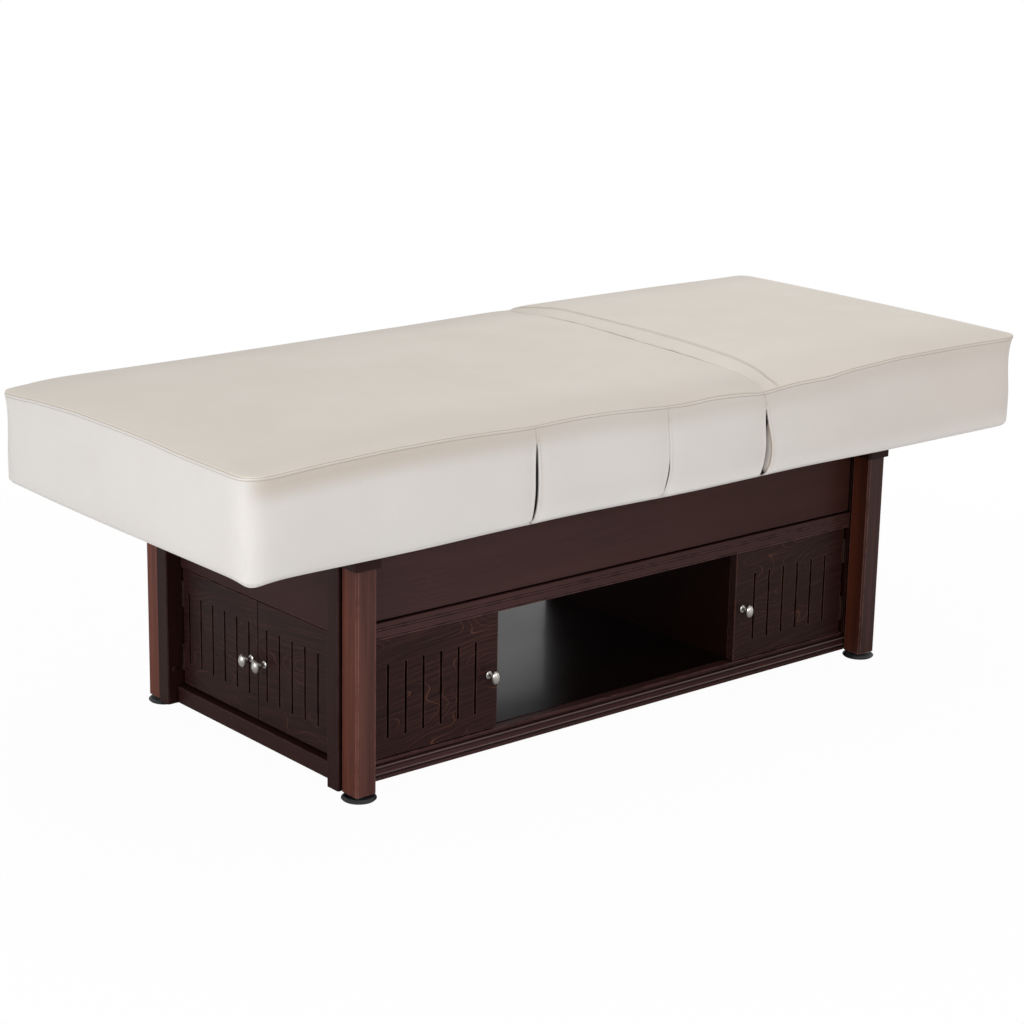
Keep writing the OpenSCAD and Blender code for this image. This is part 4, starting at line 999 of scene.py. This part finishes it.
# %% Move the points to the form
def padded_form(flat_, steps_):
    """The foam's form, from each point's place in the flat box."""
    p = flat_.copy()
    x, y, t = flat_.T
    on_top = steps_[:, 2] > 1 - ON_EDGE
    under = steps_[:, 2] < ON_EDGE
    p[:, 2] = BED_Z + (seam_height(x, y) - BED_Z) * t + skirt_rise(x, y) * (1 - t) ** 3
    p = round_corners(p)
    out = outward(p)
    edge_distance = np.minimum(np.minimum(x - X0, X1 - x), HALF_W - np.abs(y))
    carried = np.where(on_top | under, np.exp(-edge_distance / (20 * MM)), 1.0)
    p[:, :2] -= out * (drawn_in(t, out[:, 1] ** 2) * carried)[:, None]
    p[on_top, 2] += crown(x[on_top], y[on_top])
    p[under & (edge_distance > BOARD_RIM - 0.5 * MM), 2] += BOARD_T
    top_share = np.where(on_top, 1.0, np.clip((t - 0.80) / 0.20, 0, 1) ** 2)
    p[:, 0] += bowed(x, y) * top_share + leaned(x, t) * carried * np.abs(out[:, 1]) ** 2
    return p


form = padded_form(flat, steps)
write_vectors(box_mesh.vertices, "co", form)
box_mesh.update()
mattress = add_object("mattress", box_mesh)
print("form from z", round(form[:, 2].min(), 4), "to", round(form[:, 2].max(), 4))

# %% [markdown]
# ### Letting the foam push
#
# A cloth simulation with a little pressure and no gravity makes the flat panels swell as real
# padding does. The seam, the pleats and the underside are pinned, because thread and the
# board hold them. The swelling is capped at a few millimetres, so the bed keeps its size.

# %% Run the cloth simulation
SWELL_CAP = 3.2 * MM
FRAMES, PRESSURE = 14, 3.0
HELD_HEM, HELD_BESIDE, HELD_SEAM = 0.02, 4 * MM, 3 * MM
ends = np.abs(steps[:, :2]).max(axis=1)
on_side, on_top = ends > 1 - ON_EDGE, steps[:, 2] > 1 - ON_EDGE
held = (steps[:, 2] < HELD_HEM) | (on_side & on_top)
for pleat in PLEATS.values():
    past = flat[:, 0] - pleat["at"]
    held |= on_side & (past > -HELD_BESIDE) & (past < pleat["reach"])
for seam_x in (FOLD_X, FOLD_X + STRIP_W):
    held |= on_top & (np.abs(flat[:, 0] - seam_x) < HELD_SEAM)


def swell(obj, pinned, cap):
    """Runs a short pressure simulation and gives the capped movement of every point."""
    group = obj.vertex_groups.new(name="sewn")
    group.add([int(i) for i in np.nonzero(pinned)[0]], 1.0, "REPLACE")
    start = read_vectors(obj.data.vertices, "co")
    modifier = obj.modifiers.new("foam", "CLOTH")
    cloth = modifier.settings
    cloth.quality = 4
    cloth.mass = 0.4
    cloth.tension_stiffness = 25
    cloth.compression_stiffness = 25
    cloth.bending_stiffness = 6
    cloth.use_pressure = True
    cloth.uniform_pressure_force = PRESSURE
    cloth.effector_weights.gravity = 0
    cloth.vertex_group_mass = "sewn"
    modifier.collision_settings.use_collision = False
    modifier.point_cache.frame_start = 1
    modifier.point_cache.frame_end = FRAMES
    for number in range(1, FRAMES + 1):
        scene.frame_set(number)
    seen_mesh = obj.evaluated_get(bpy.context.evaluated_depsgraph_get()).data
    step = read_vectors(seen_mesh.vertices, "co") - start
    obj.modifiers.remove(modifier)
    obj.vertex_groups.remove(group)
    scene.frame_set(1)
    size = np.linalg.norm(step, axis=1, keepdims=True)
    return step * (cap * np.tanh(size / cap) / np.maximum(size, 1e-9))


swelling = swell(mattress, held, SWELL_CAP)
print("largest swelling", round(float(np.linalg.norm(swelling, axis=1).max()) / MM, 2), "mm")

# %% Refine the mesh and carry each point's place along
# The flat place of each point goes with it as an attribute through one subdivision, so the
# seams can be cut by distances in millimetres afterwards.
write_vectors(box_mesh.vertices, "co", form + swelling)
for label, values in (("flat_place", flat), ("grid_step", steps)):
    write_vectors(box_mesh.attributes.new(label, "FLOAT_VECTOR", "POINT").data, "vector", values)
smooth_once = mattress.modifiers.new("finer", "SUBSURF")
smooth_once.levels = smooth_once.render_levels = 1
fine_mesh = bpy.data.meshes.new_from_object(mattress.evaluated_get(bpy.context.evaluated_depsgraph_get()))
mattress.modifiers.clear()
bpy.data.objects.remove(mattress)
count = len(fine_mesh.vertices)
co = read_vectors(fine_mesh.vertices, "co")
fine_flat = read_vectors(fine_mesh.attributes["flat_place"].data, "vector")
fine_step = read_vectors(fine_mesh.attributes["grid_step"].data, "vector")
print("refined to", count, "points")

# %% [markdown]
# ### Seams, pleats and creases
#
# The joint between the top and the sides reads as a fine groove, with a row of stitches in a
# second groove just under it and a low ridge between them. Each point's distance from the
# joint is known, so the grooves are simply cut along the surface normal. The same distances
# are kept on the mesh as attributes, because the leather is a little darker right in the
# groove, and the material can draw that much finer than the mesh. A pleat is cut into the
# side between rolled lips. In the back pleat the lining slopes up from the crack to the lip.

# %% Cut the seams
GROOVE = 1.1 * MM
STITCH_DROP = 5.8 * MM
STRIP_STITCH = 2.7 * MM
RIDGE = 0.9 * MM
STRIP_RIDGE = 0.5 * MM
FOLD_DEEP = 1.8 * MM
WAVES = (0.8 * MM, 0.5 * MM)
FOLD_PULL = ((-HALF_W, 0.12), (-0.26, 0.2), (-0.18, 0.9), (0.2, 1.0), (0.32, 0.55), (HALF_W, 0.4))
normals = read_vectors(fine_mesh.vertices, "normal")
fx, fy, ft = fine_flat.T
room_to_end = np.minimum(fx - X0, X1 - fx)
edge_room = np.minimum(room_to_end, HALF_W - np.abs(fy))
top_part = fine_step[:, 2] > 1 - 1e-4
wall_part = (~top_part) & (fine_step[:, 2] > 1e-4)
down_wall = (1 - ft) * (seam_height(fx, fy) - BED_Z)
from_seam = np.where(top_part, edge_room, np.where(wall_part, -down_wall, -1.0))


def groove(distance, width):
    """The cross-section of a thin groove, 1 at its middle."""
    return np.exp(-np.abs(distance / width) ** 1.6)


depth = GROOVE * groove(from_seam, 1.3 * MM) + 0.6 * GROOVE * groove(from_seam + STITCH_DROP, 1.4 * MM)
depth -= RIDGE * (groove(from_seam + STITCH_DROP / 2, 1.7 * MM) + groove(from_seam - 3.6 * MM, 2.6 * MM))
strip_edge = fx - FOLD_X - STRIP_W
across = np.where(top_part, 1.0, 0.0) * np.clip(edge_room / (4 * MM), 0, 1)
stitch_lines = groove(strip_edge + STRIP_STITCH, 1.0 * MM) + groove(strip_edge - STRIP_STITCH, 1.0 * MM)
depth += across * 0.45 * GROOVE * stitch_lines
depth -= across * STRIP_RIDGE * (groove(strip_edge, 1.6 * MM) + groove(strip_edge - 6.5 * MM, 3 * MM))
fold_line = fx - FOLD_X - WAVES[0] * np.sin(fy * 37) - WAVES[1] * np.sin(fy * 101 + 1)
fold_pull = curve_through(FOLD_PULL, fy)
depth += across * FOLD_DEEP * groove(fold_line, 2.0 * MM) * fold_pull
new = co - normals * depth[:, None]
print("seams cut, deepest", round(float(depth.max()) / MM, 2), "mm")

# %% Cut the pleats
SHUT_GROOVE = 1.1 * MM
LIP_H, LIP_W, LIP_BEFORE, LIP_AFTER = 1.6 * MM, 3 * MM, 3.6 * MM, 3.8 * MM
PULL, PULL_W = 2.2 * MM, 14 * MM
HEM_PULL, HEM_PULL_W = 4.5 * MM, 8 * MM
LINING_DEEP, LINING_LIP = 7.5, 1.0
CRACK_W, CRACK_WIDER, WIDER_FROM, WIDER_OVER = 3.4, 2.6, 0.42, 0.2


def between(distance, width, soft=0.35 * MM):
    """1 where a distance lies between 0 and a width, with soft edges."""
    enter = 1 + np.exp(np.clip(-distance / soft, -40, 40))
    leave = 1 + np.exp(np.clip((distance - width) / soft, -40, 40))
    return 1 / (enter * leave)


long_side = wall_part & (np.abs(fine_step[:, 1]) > 1 - 1e-3)
below_seam = np.clip((1 - ft) / 0.03, 0, 1)
gap_dark, pleat_ink, lining_shade = np.zeros(count), np.zeros(count), np.zeros(count)
for pleat in PLEATS.values():
    past = fx - pleat["at"]
    gape = curve_through(pleat["gape"], ft) * MM
    opened = np.clip(gape / (1.0 * MM), 0, 1)
    crack = gape
    if pleat["lining"]:
        widest = (CRACK_W + CRACK_WIDER * np.clip((ft - WIDER_FROM) / WIDER_OVER, 0, 1)) * MM
        crack = np.minimum(gape, widest) + np.maximum(gape - widest, 0) * fall(ft - 0.02, 0.09)
    lined_w = gape - crack
    across_lining = np.clip((past - crack) / np.maximum(lined_w, 1e-6), 0, 1)
    lined_share = np.clip(lined_w / (2 * MM), 0, 1)
    lining = between(past - crack, lined_w) * lined_share
    slope = LINING_LIP + (LINING_DEEP - LINING_LIP) * (1 - across_lining)
    cut = pleat["deep"] * between(past, crack) * opened + lining * slope * MM
    shut = SHUT_GROOVE * groove(past, 1.2 * MM)
    both_lips = bell(past, -LIP_BEFORE, LIP_W) + bell(past, gape + LIP_AFTER, LIP_W)
    lips = LIP_H * both_lips * (0.4 + 0.6 * opened)
    pulled = PULL * bell(past, gape / 2, PULL_W) * (1 - 0.5 * ft)
    low_corner = HEM_PULL * bell(past, gape / 2, HEM_PULL_W) * np.exp(-ft * 9)
    draw = (np.maximum(cut, shut) - lips + pulled + low_corner) * below_seam
    new[long_side, 1] -= np.sign(fine_step[long_side, 1]) * draw[long_side]
    new[long_side, 2] += (0.7 * low_corner * np.exp(-ft * 20))[long_side]
    gap_dark = np.maximum(gap_dark, between(past + 0.4 * MM, crack + 0.8 * MM) * opened)
    # Painted shade on the lining, darkest beside the crack.
    lining_shade = np.maximum(lining_shade, lining * (1 - across_lining) ** 0.8)
    crack_ink = groove(past, 0.8 * MM) * (0.30 + 0.55 * bell(ft, 0.2, 0.16) * (gape < 2 * MM))
    lip_ink = 0.95 * groove(past - gape, 0.9 * MM) * lined_share
    crease_ink = 0.16 * groove(past - gape - 5.5 * MM, 0.8 * MM) * (ft < 0.84) * (opened > 0.2)
    pleat_ink = np.maximum.reduce([pleat_ink, crack_ink, lip_ink, crease_ink])
gap_dark *= long_side
lining_shade *= long_side
pleat_ink *= long_side * below_seam
print("points in the open pleats:", int((gap_dark > 0.5).sum()))

# %% Add the creases
# Slow noise keeps the wide panels from looking machined. The sides give back a little of the
# swelling, and the hem puckers where the leather is pulled round the four corners.
CREASE, FINE_CREASE = 0.8, 0.14
CALM_RIM = 60 * MM
SLIM = 1.4 * MM
GATHER, GATHER_W, GATHER_COUNT = 1.4 * MM, 45 * MM, 22
BOX_ROOM = 5 * MM


def soft_noise(scale, seed):
    """Smooth noise from -1 to 1 at every point."""
    return np.array([noise.noise(Vector((p[0] * scale + seed, p[1] * scale, p[2] * scale))) for p in co])


uneven = CREASE * soft_noise(5.5, 3.1) + FINE_CREASE * soft_noise(24.0, 8.7)
new[:, 2] += np.where(top_part, uneven * MM * np.clip(edge_room / CALM_RIM, 0, 1), 0)
inner_wall = np.clip(ft / 0.2, 0, 1) * np.clip((1 - ft) / 0.15, 0, 1)
wall_noise = np.where(wall_part, uneven, 0) * MM * inner_wall
new[:, :2] += outward(co) * (wall_noise - SLIM * wall_part * np.clip((1 - ft) / 0.1, 0, 1))[:, None]
corner_room = np.hypot(room_to_end, HALF_W - np.abs(fy))
gather = np.where(wall_part, bell(corner_room, 0, GATHER_W) * np.exp(-ft * 30), 0)
angle = np.arctan2(co[:, 1] - np.sign(co[:, 1]) * (HALF_W - CORNER_R),
                   co[:, 0] - np.where(co[:, 0] > 0, X1 - CORNER_R, X0 + CORNER_R))
new[:, 2] += gather * GATHER * (1 + np.sin(angle * GATHER_COUNT))
new = np.clip(new, np.array(cad_low) - BOX_ROOM, np.array(cad_high) + BOX_ROOM)
print("gathers raise the hem by up to", round(float(gather.max()) * 2 * GATHER / MM, 2), "mm")

# %% Say where shade and light are painted on the leather
# Painted shade makes the leather browner in the hollow under the seam on the long sides, most
# at the foot end, and along the long rims of the top. Painted light makes the hem paler than
# the middle of the side.
SHADE_UNDER_SEAM = ((X0, 1.0), (-0.75, 1.0), (-0.50, 0.9), (-0.20, 0.58), (0.05, 0.50), (0.45, 0.42), (X1, 0.36))
SHADE_ON_RIM = ((X0, 0.30), (-0.60, 0.45), (-0.20, 0.55), (0.05, 0.75), (0.19, 0.75), (0.28, 0.40), (X1, 0.55))
facing_side = np.abs(outward(co)[:, 1]) ** 3
in_hollow = np.clip(down_wall / (5 * MM), 0, 1) * fall(down_wall - 16 * MM, 42 * MM)
# Painted shade in the hollow under the seam of the long sides, and along the long rims of the top.
hollow_shade = wall_part * facing_side * curve_through(SHADE_UNDER_SEAM, fx) * in_hollow
on_rim = fall(HALF_W - np.abs(fy), 0.17) * np.clip(room_to_end / (30 * MM), 0, 1)
hollow_shade += top_part * curve_through(SHADE_ON_RIM, fx) * on_rim
# Painted light: the hem of each long side is paler, more so towards the head end.
hem_light = wall_part * facing_side * fall(ft, 0.24) * (0.4 + 0.6 * np.clip((fx + 0.5) / 0.4, 0, 1))
for label, values in (("seam_run", from_seam), ("strip_run", np.where(top_part, strip_edge, 1.0)),
                      ("fold_run", np.where(top_part, fold_line, 1.0)), ("fold_ink", fold_pull),
                      ("pleat_ink", pleat_ink), ("gap_dark", gap_dark), ("lining_shade", lining_shade),
                      ("hollow_shade", hollow_shade), ("hem_light", hem_light)):
    fine_mesh.attributes.new(label, "FLOAT", "POINT").data.foreach_set("value", values.astype(np.float32))
write_vectors(fine_mesh.vertices, "co", new)
fine_mesh.update()
shade_smooth(fine_mesh)
print("mattress now spans", np.round(new.min(0), 4), np.round(new.max(0), 4))

# %% [markdown]
# ### The leather
#
# The cover is off-white: a cool white on the sides, and painted warmer on top for how the light
# falls there. It has a low sheen and a soft highlight along the rounded corners. The grain group
# gives the pebble, and the creases between its cells are a shade darker. Slow clouds shift
# both colour and gloss by a few hundredths, which keeps a large pale panel from looking like
# paint. The seam lines are drawn from the distances that the mesh carries: a thin tan line
# in each groove, and a painted deep brown shade inside the open pleats, where hardly any light gets.

# %% Draw the seam lines
def carried_value(tree, label):
    """A number that the mesh carries for every point."""
    return add_node(tree, "Attribute", [("attribute_name", label)]).outputs["Fac"]


def thin_line_at(tree, distance, at, half, strength):
    """A soft line where a distance equals a value."""
    off = maths(tree, "ABSOLUTE", maths(tree, "SUBTRACT", distance, at))
    return ramp(tree, off, half, half * 0.35, 0.0, strength)


def seam_ink(tree):
    """The darkness of all the thin lines together."""
    run, strip, fold = (carried_value(tree, label) for label in ("seam_run", "strip_run", "fold_run"))
    fold_shadow = thin_line_at(tree, fold, 0.0, 1.9 * MM, 1.0)
    total = thin_line_at(tree, run, 0.0, 0.95 * MM, 0.70)
    for line in (thin_line_at(tree, run, -STITCH_DROP, 0.9 * MM, 0.38),
                 thin_line_at(tree, strip, -STRIP_STITCH, 0.75 * MM, 0.45),
                 thin_line_at(tree, strip, STRIP_STITCH, 0.7 * MM, 0.25),
                 maths(tree, "MULTIPLY", fold_shadow, carried_value(tree, "fold_ink")),
                 carried_value(tree, "pleat_ink")):
        total = maths(tree, "MAXIMUM", total, line)
    return total


# %% Mix the leather and the thread
COOL, COOL_CLOUD = (0.800, 0.768, 0.738, 1), (0.775, 0.740, 0.708, 1)
PAINTED_TOP_WARMTH, PAINTED_TOP_WARMTH_CLOUD = (0.842, 0.766, 0.668, 1), (0.818, 0.739, 0.641, 1)
PAINTED_HEM_LIGHT, PAINTED_SHADE_BROWN, CREASED = (0.90, 0.875, 0.85, 1), (0.660, 0.585, 0.510, 1), (0.60, 0.54, 0.47, 1)
INK, LINING_SHADOW_BROWN, DARK = (0.34, 0.225, 0.135, 1), (0.12, 0.080, 0.050, 1), (0.012, 0.007, 0.004, 1)
cover_leather, tree, shader, place = new_finish("cover_leather", 0.42, Specular_IOR_Level=0.42,
                                                Sheen_Weight=0.05, Sheen_Roughness=0.5)
grain = use_group(tree, leather_grain, Vector=place, Cell_Size=1.0)
cloud = ramp(tree, grain["Cloud"], 0.32, 0.72)
side = mix_colour(tree, cloud, COOL, COOL_CLOUD)
# Painted warm light: the sides grow yellower and darker towards the head end.
painted_head_warmth = ramp(tree, parts_of(tree, place)["X"], -0.15, 0.90)
side = mix_colour(tree, painted_head_warmth, side, tinted(tree, side, (0.950, 0.910, 0.880)))
# The top is painted warmer than the sides, for how the light falls on it.
top_share = ramp(tree, carried_value(tree, "seam_run"), -0.5 * MM, 1.0 * MM)
colour = mix_colour(tree, top_share, side, mix_colour(tree, cloud, PAINTED_TOP_WARMTH, PAINTED_TOP_WARMTH_CLOUD))
in_gap = ramp(tree, carried_value(tree, "gap_dark"), 0.06, 0.40)
# Painted light on the hem, painted shade under the seam and on the rims, darker grain creases, the seam lines,
# and painted shade on the lining and in the open pleats.
for share, shade in ((maths(tree, "MULTIPLY", carried_value(tree, "hem_light"), 0.55), PAINTED_HEM_LIGHT),
                     (carried_value(tree, "hollow_shade"), PAINTED_SHADE_BROWN),
                     (maths(tree, "MULTIPLY", grain["Crease"], 0.16), CREASED),
                     (seam_ink(tree), INK),
                     (maths(tree, "MULTIPLY", carried_value(tree, "lining_shade"), 0.95), LINING_SHADOW_BROWN),
                     (in_gap, DARK)):
    colour = mix_colour(tree, share, colour, shade)
smudge = use_group(tree, handled, Vector=place, Scale=0.6)["Smudge"]
gloss = maths(tree, "ADD", ramp(tree, smudge, 0.0, 1.0, 0.35, 0.44),
              maths(tree, "MULTIPLY", grain["Crease"], 0.06))
colour_and_gloss(tree, shader, colour, maths(tree, "MAXIMUM", gloss, maths(tree, "MULTIPLY", in_gap, 0.9)))
bump(tree, shader, grain["Height"], 0.20, 0.4 * MM)

cover_thread, tree, shader, place = new_finish("cover_thread", 0.6, Sheen_Weight=0.3)
tilted = turned(tree, place, rotation=(0.3, 0.5, 0.6))
twist = add_node(tree, "TexWave", Vector=tilted, Scale=700.0).outputs["Fac"]
feed(tree, shader.inputs["Base Color"], mix_colour(tree, twist, (0.44, 0.36, 0.28, 1), (0.60, 0.52, 0.43, 1)))
bump(tree, shader, twist, 0.4, 0.2 * MM)
print("finishes so far:", len(bpy.data.materials))

# %% [markdown]
# ### Stitches
#
# Each stitch is a small pointed bead that lies in its groove. One bead is modelled, and
# copies are set along every seam, about four millimetres apart: one row round the sides, just
# under the joint, and one along each side of the strip's seam. Three short stitches across the
# top of each pleat stop it from tearing further. Where a stitch lies, and which way it points,
# is read from the finished leather: the nearest point on it and its normal.

# %% Walk along the seams
STITCH_STEP = 4.2 * MM
CORNER_STEPS = 12
TACK_SHARE, TACK_GAP, TACK_LEAN = 0.83, 1.6 * MM, 0.8 * MM


def rounded_plan(inset):
    """Points along the rounded plan outline at an inset from it."""
    radius = CORNER_R - inset
    xa, xb, yb = X0 + CORNER_R, X1 - CORNER_R, HALF_W - CORNER_R
    path = []
    for quarter, (cx, cy) in enumerate(((xb, yb), (xa, yb), (xa, -yb), (xb, -yb))):
        for k in range(CORNER_STEPS + 1):
            turn = (quarter + k / CORNER_STEPS) * QUARTER
            path.append((cx + radius * math.cos(turn), cy + radius * math.sin(turn)))
    return path + [path[0]]


def walk(path, step):
    """Points at equal steps along a path, with the direction of the path at each."""
    points = [Vector(p) for p in path]
    out, left = [], step / 2
    for a, b in zip(points[:-1], points[1:]):
        run = (b - a).length
        if run < 1e-9:
            continue
        while left < run:
            out.append((a + (b - a) * (left / run), (b - a) / run))
            left += step
        left -= run
    return out


def seam_rows():
    """The guide lines of every row of stitches, just outside the leather."""
    plan = np.array([tuple(point[0]) for point in walk(rounded_plan(-1 * MM), 15 * MM)])
    plan = np.vstack([plan, plan[:1]])
    rows = [np.column_stack([plan, seam_height(plan[:, 0], plan[:, 1]) - STITCH_DROP])]
    for side in (-STRIP_STITCH, STRIP_STITCH):
        ys = np.linspace(-HALF_W + 7 * MM, HALF_W - 7 * MM, 90)
        xs = np.full_like(ys, FOLD_X + STRIP_W + side)
        rows.append(np.column_stack([xs + bowed(xs, ys), ys, seam_height(xs, ys) + crown(xs, ys) + 2 * MM]))
    for pleat in PLEATS.values():
        x = pleat["at"] + curve_through(pleat["lean"], np.array([TACK_SHARE]))[0] * MM
        for y in (-HALF_W, HALF_W):
            top_z = BED_Z + TACK_SHARE * (float(seam_height(x, y)) - BED_Z)
            for z in (top_z - TACK_GAP * k for k in range(3)):
                rows.append([(x - STITCH_STEP / 2, y, z), (x + STITCH_STEP / 2, y, z + TACK_LEAN)])
    return rows


# %% Model one stitch and set the copies
STITCH_W, STITCH_LENGTH, STITCH_LIFT = 0.7 * MM, 0.80, 0.15 * MM
skin = BVHTree.FromPolygons([Vector(v) for v in new], [tuple(p.vertices) for p in fine_mesh.polygons])
bm = bmesh.new()
bmesh.ops.create_uvsphere(bm, u_segments=6, v_segments=5, radius=0.5)
bmesh.ops.scale(bm, vec=(STITCH_W, STITCH_W, STITCH_STEP * STITCH_LENGTH), verts=bm.verts[:])
bmesh.ops.rotate(bm, cent=(0, 0, 0), matrix=Matrix.Rotation(QUARTER, 3, "Y"), verts=bm.verts[:])
one_stitch = mesh_from(bm, "one_stitch")
stitch_co = np.array([v.co[:] for v in one_stitch.vertices])
stitch_faces = [tuple(p.vertices) for p in one_stitch.polygons]
places = []
for row in seam_rows():
    for at, along_seam in walk(row, STITCH_STEP):
        hit, facing = skin.find_nearest(at)[:2]
        run = (along_seam - facing * along_seam.dot(facing)).normalized()
        places.append((hit + facing * STITCH_LIFT, run, facing.cross(run), facing))
print("stitches:", len(places))

# %% [markdown]
# ### Three pieces for three hinges
#
# The cover bends at three hinges, and a piece can bend between two bodies only. The cover bends
# at three hinges, so the finished skin is cut into three where nothing bends: in the middle of
# the thigh panel and on the seat. The cut edges meet point for point, and the normals of the
# whole are stored on the parts, so the cuts don't show. Each piece hides the CAD pads it stands
# for.

# %% Say where to cut
CUT_SEAT = 40 * MM
CUT_THIGH = (KNEE_X + THIGH_X) / 2
FAR_OFF = 9
whole_normals = read_vectors(fine_mesh.vertices, "normal")
write_vectors(fine_mesh.attributes.new("whole_normal", "FLOAT_VECTOR", "POINT").data, "vector", whole_normals)
centre_x = read_vectors(fine_mesh.polygons, "center")[:, 0]
# Each row is a piece: where it starts and ends, its two bodies, its hinge, how far before and
# after the hinge it bends, and the CAD nodes it stands for. The bend is counted from the first
# body to the second, so it is below zero where the second body lies towards the foot end.
SECTIONS = {
    "foot": (-FAR_OFF, CUT_THIGH, "thigh_section", "calf_section", KNEE_X, -60 * MM, ["calf_pad"]),
    "middle": (CUT_THIGH, CUT_SEAT, "top_frame", "thigh_section", THIGH_X, -60 * MM,
               ["thigh_pad", "thigh_fold"]),
    "head": (CUT_SEAT, FAR_OFF, "top_frame", "back_section", BACK_X, 166 * MM,
             ["back_pad", "back_fold", "seat_pad"]),
}

# %% Cut the skin and the thread into three pieces
def skin_piece(label, low_x, high_x):
    """The part of the skin between two places along the bed, with the normals of the whole."""
    bm = bmesh.new()
    bm.from_mesh(fine_mesh)
    bm.faces.ensure_lookup_table()
    outside = [f for f in bm.faces if not low_x <= centre_x[f.index] < high_x]
    bmesh.ops.delete(bm, geom=outside, context="FACES")
    mesh = mesh_from(bm, "mattress_" + label)
    kept = read_vectors(mesh.attributes["whole_normal"].data, "vector")
    mesh.normals_split_custom_set_from_vertices(kept.tolist())
    for spare in ("flat_place", "grid_step", "whole_normal"):
        mesh.attributes.remove(mesh.attributes[spare])
    mesh.materials.append(cover_leather)
    return add_object(mesh.name, mesh)


def thread_piece(label, low_x, high_x):
    """The stitches between two places along the bed, as one mesh."""
    mine = [p for p in places if low_x <= p[0].x < high_x]
    blocks = [stitch_co @ np.array(turn) + np.array(at) for at, *turn in mine]
    faces = [tuple(i + k * len(stitch_co) for i in f) for k in range(len(mine)) for f in stitch_faces]
    mesh = bpy.data.meshes.new("thread_" + label)
    mesh.from_pydata(np.concatenate(blocks).tolist(), [], faces)
    mesh.materials.append(cover_thread)
    print("mattress_" + label, "has", len(mine), "stitches")
    return add_object(mesh.name, mesh)


for label, (low_x, high_x, body_a, body_b, hinge, reach, stands_for) in SECTIONS.items():
    piece = skin_piece(label, low_x, high_x)
    thread = thread_piece(label, low_x, high_x)
    for part in (piece, thread):
        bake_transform(part)
    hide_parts(*stands_for)
    print(piece.name, len(piece.data.polygons), "faces")


# %% [markdown]
# ## Small fasteners
#
# Each upright beside a leg is held by a bolt, and the bolt's head is hidden by a turned
# wooden cover on the face towards the doors. It is a low button with a rounded rim, spun from
# a profile, and low enough for an open door to pass it with half a millimetre to spare. To
# seat it on that face, we cast a ray from the middle of the doors to the upright and see
# where it lands.

# %% Turn the bolt covers
COVER_PROFILE = [(0, 1.5), (4.2, 1.4), (6.2, 1.1), (7.0, 0.4), (7.0, -1.5), (0, -1.5)]
COVER_Z = 79 * MM
COVER_IN = 17 * MM
SPIN_STEPS = 32


def spun(profile, centre, axis):
    """A closed revolve of a profile (radius, height), set at a centre with its axis outwards."""
    bm = bmesh.new()
    verts = [bm.verts.new((r, 0, h)) for r, h in profile]
    edges = [bm.edges.new(pair) for pair in zip(verts[:-1], verts[1:])]
    bmesh.ops.spin(bm, geom=verts + edges, cent=(0, 0, 0), axis=(0, 0, 1), angle=2 * math.pi, steps=SPIN_STEPS,
                   use_merge=True)
    bmesh.ops.remove_doubles(bm, verts=bm.verts[:], dist=0.01 * MM)
    bmesh.ops.recalc_face_normals(bm, faces=bm.faces[:])
    turn_to = Vector((0, 0, 1)).rotation_difference(Vector(axis)).to_matrix().to_4x4()
    bmesh.ops.transform(bm, matrix=Matrix.Translation(centre) @ turn_to, verts=bm.verts[:])
    return bm


stile_low, stile_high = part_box("end_stiles")
stiles = frame["nodes"]["end_stiles"].data
stile_tree = BVHTree.FromPolygons([v.co.copy() for v in stiles.vertices],
                                  [tuple(p.vertices) for p in stiles.polygons])
for side, far in (("rear", 1), ("front", -1)):
    for end, x in (("left", stile_low.x + COVER_IN), ("right", stile_high.x - COVER_IN)):
        face = stile_tree.ray_cast(Vector((x, 0, COVER_Z)), Vector((0, far, 0)))[0]
        bm = spun([(r * MM, h * MM) for r, h in COVER_PROFILE], tuple(face), (0, -far, 0))
        mesh = mesh_from(bm, f"bolt_cover_{end}_{side}")
        shade_smooth(mesh)
        mesh.materials.append(stile_wood)
        cover = add_object(mesh.name, mesh)
        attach(cover, "cabinet")
        print(mesh.name, "sits at y", round(face.y, 4))
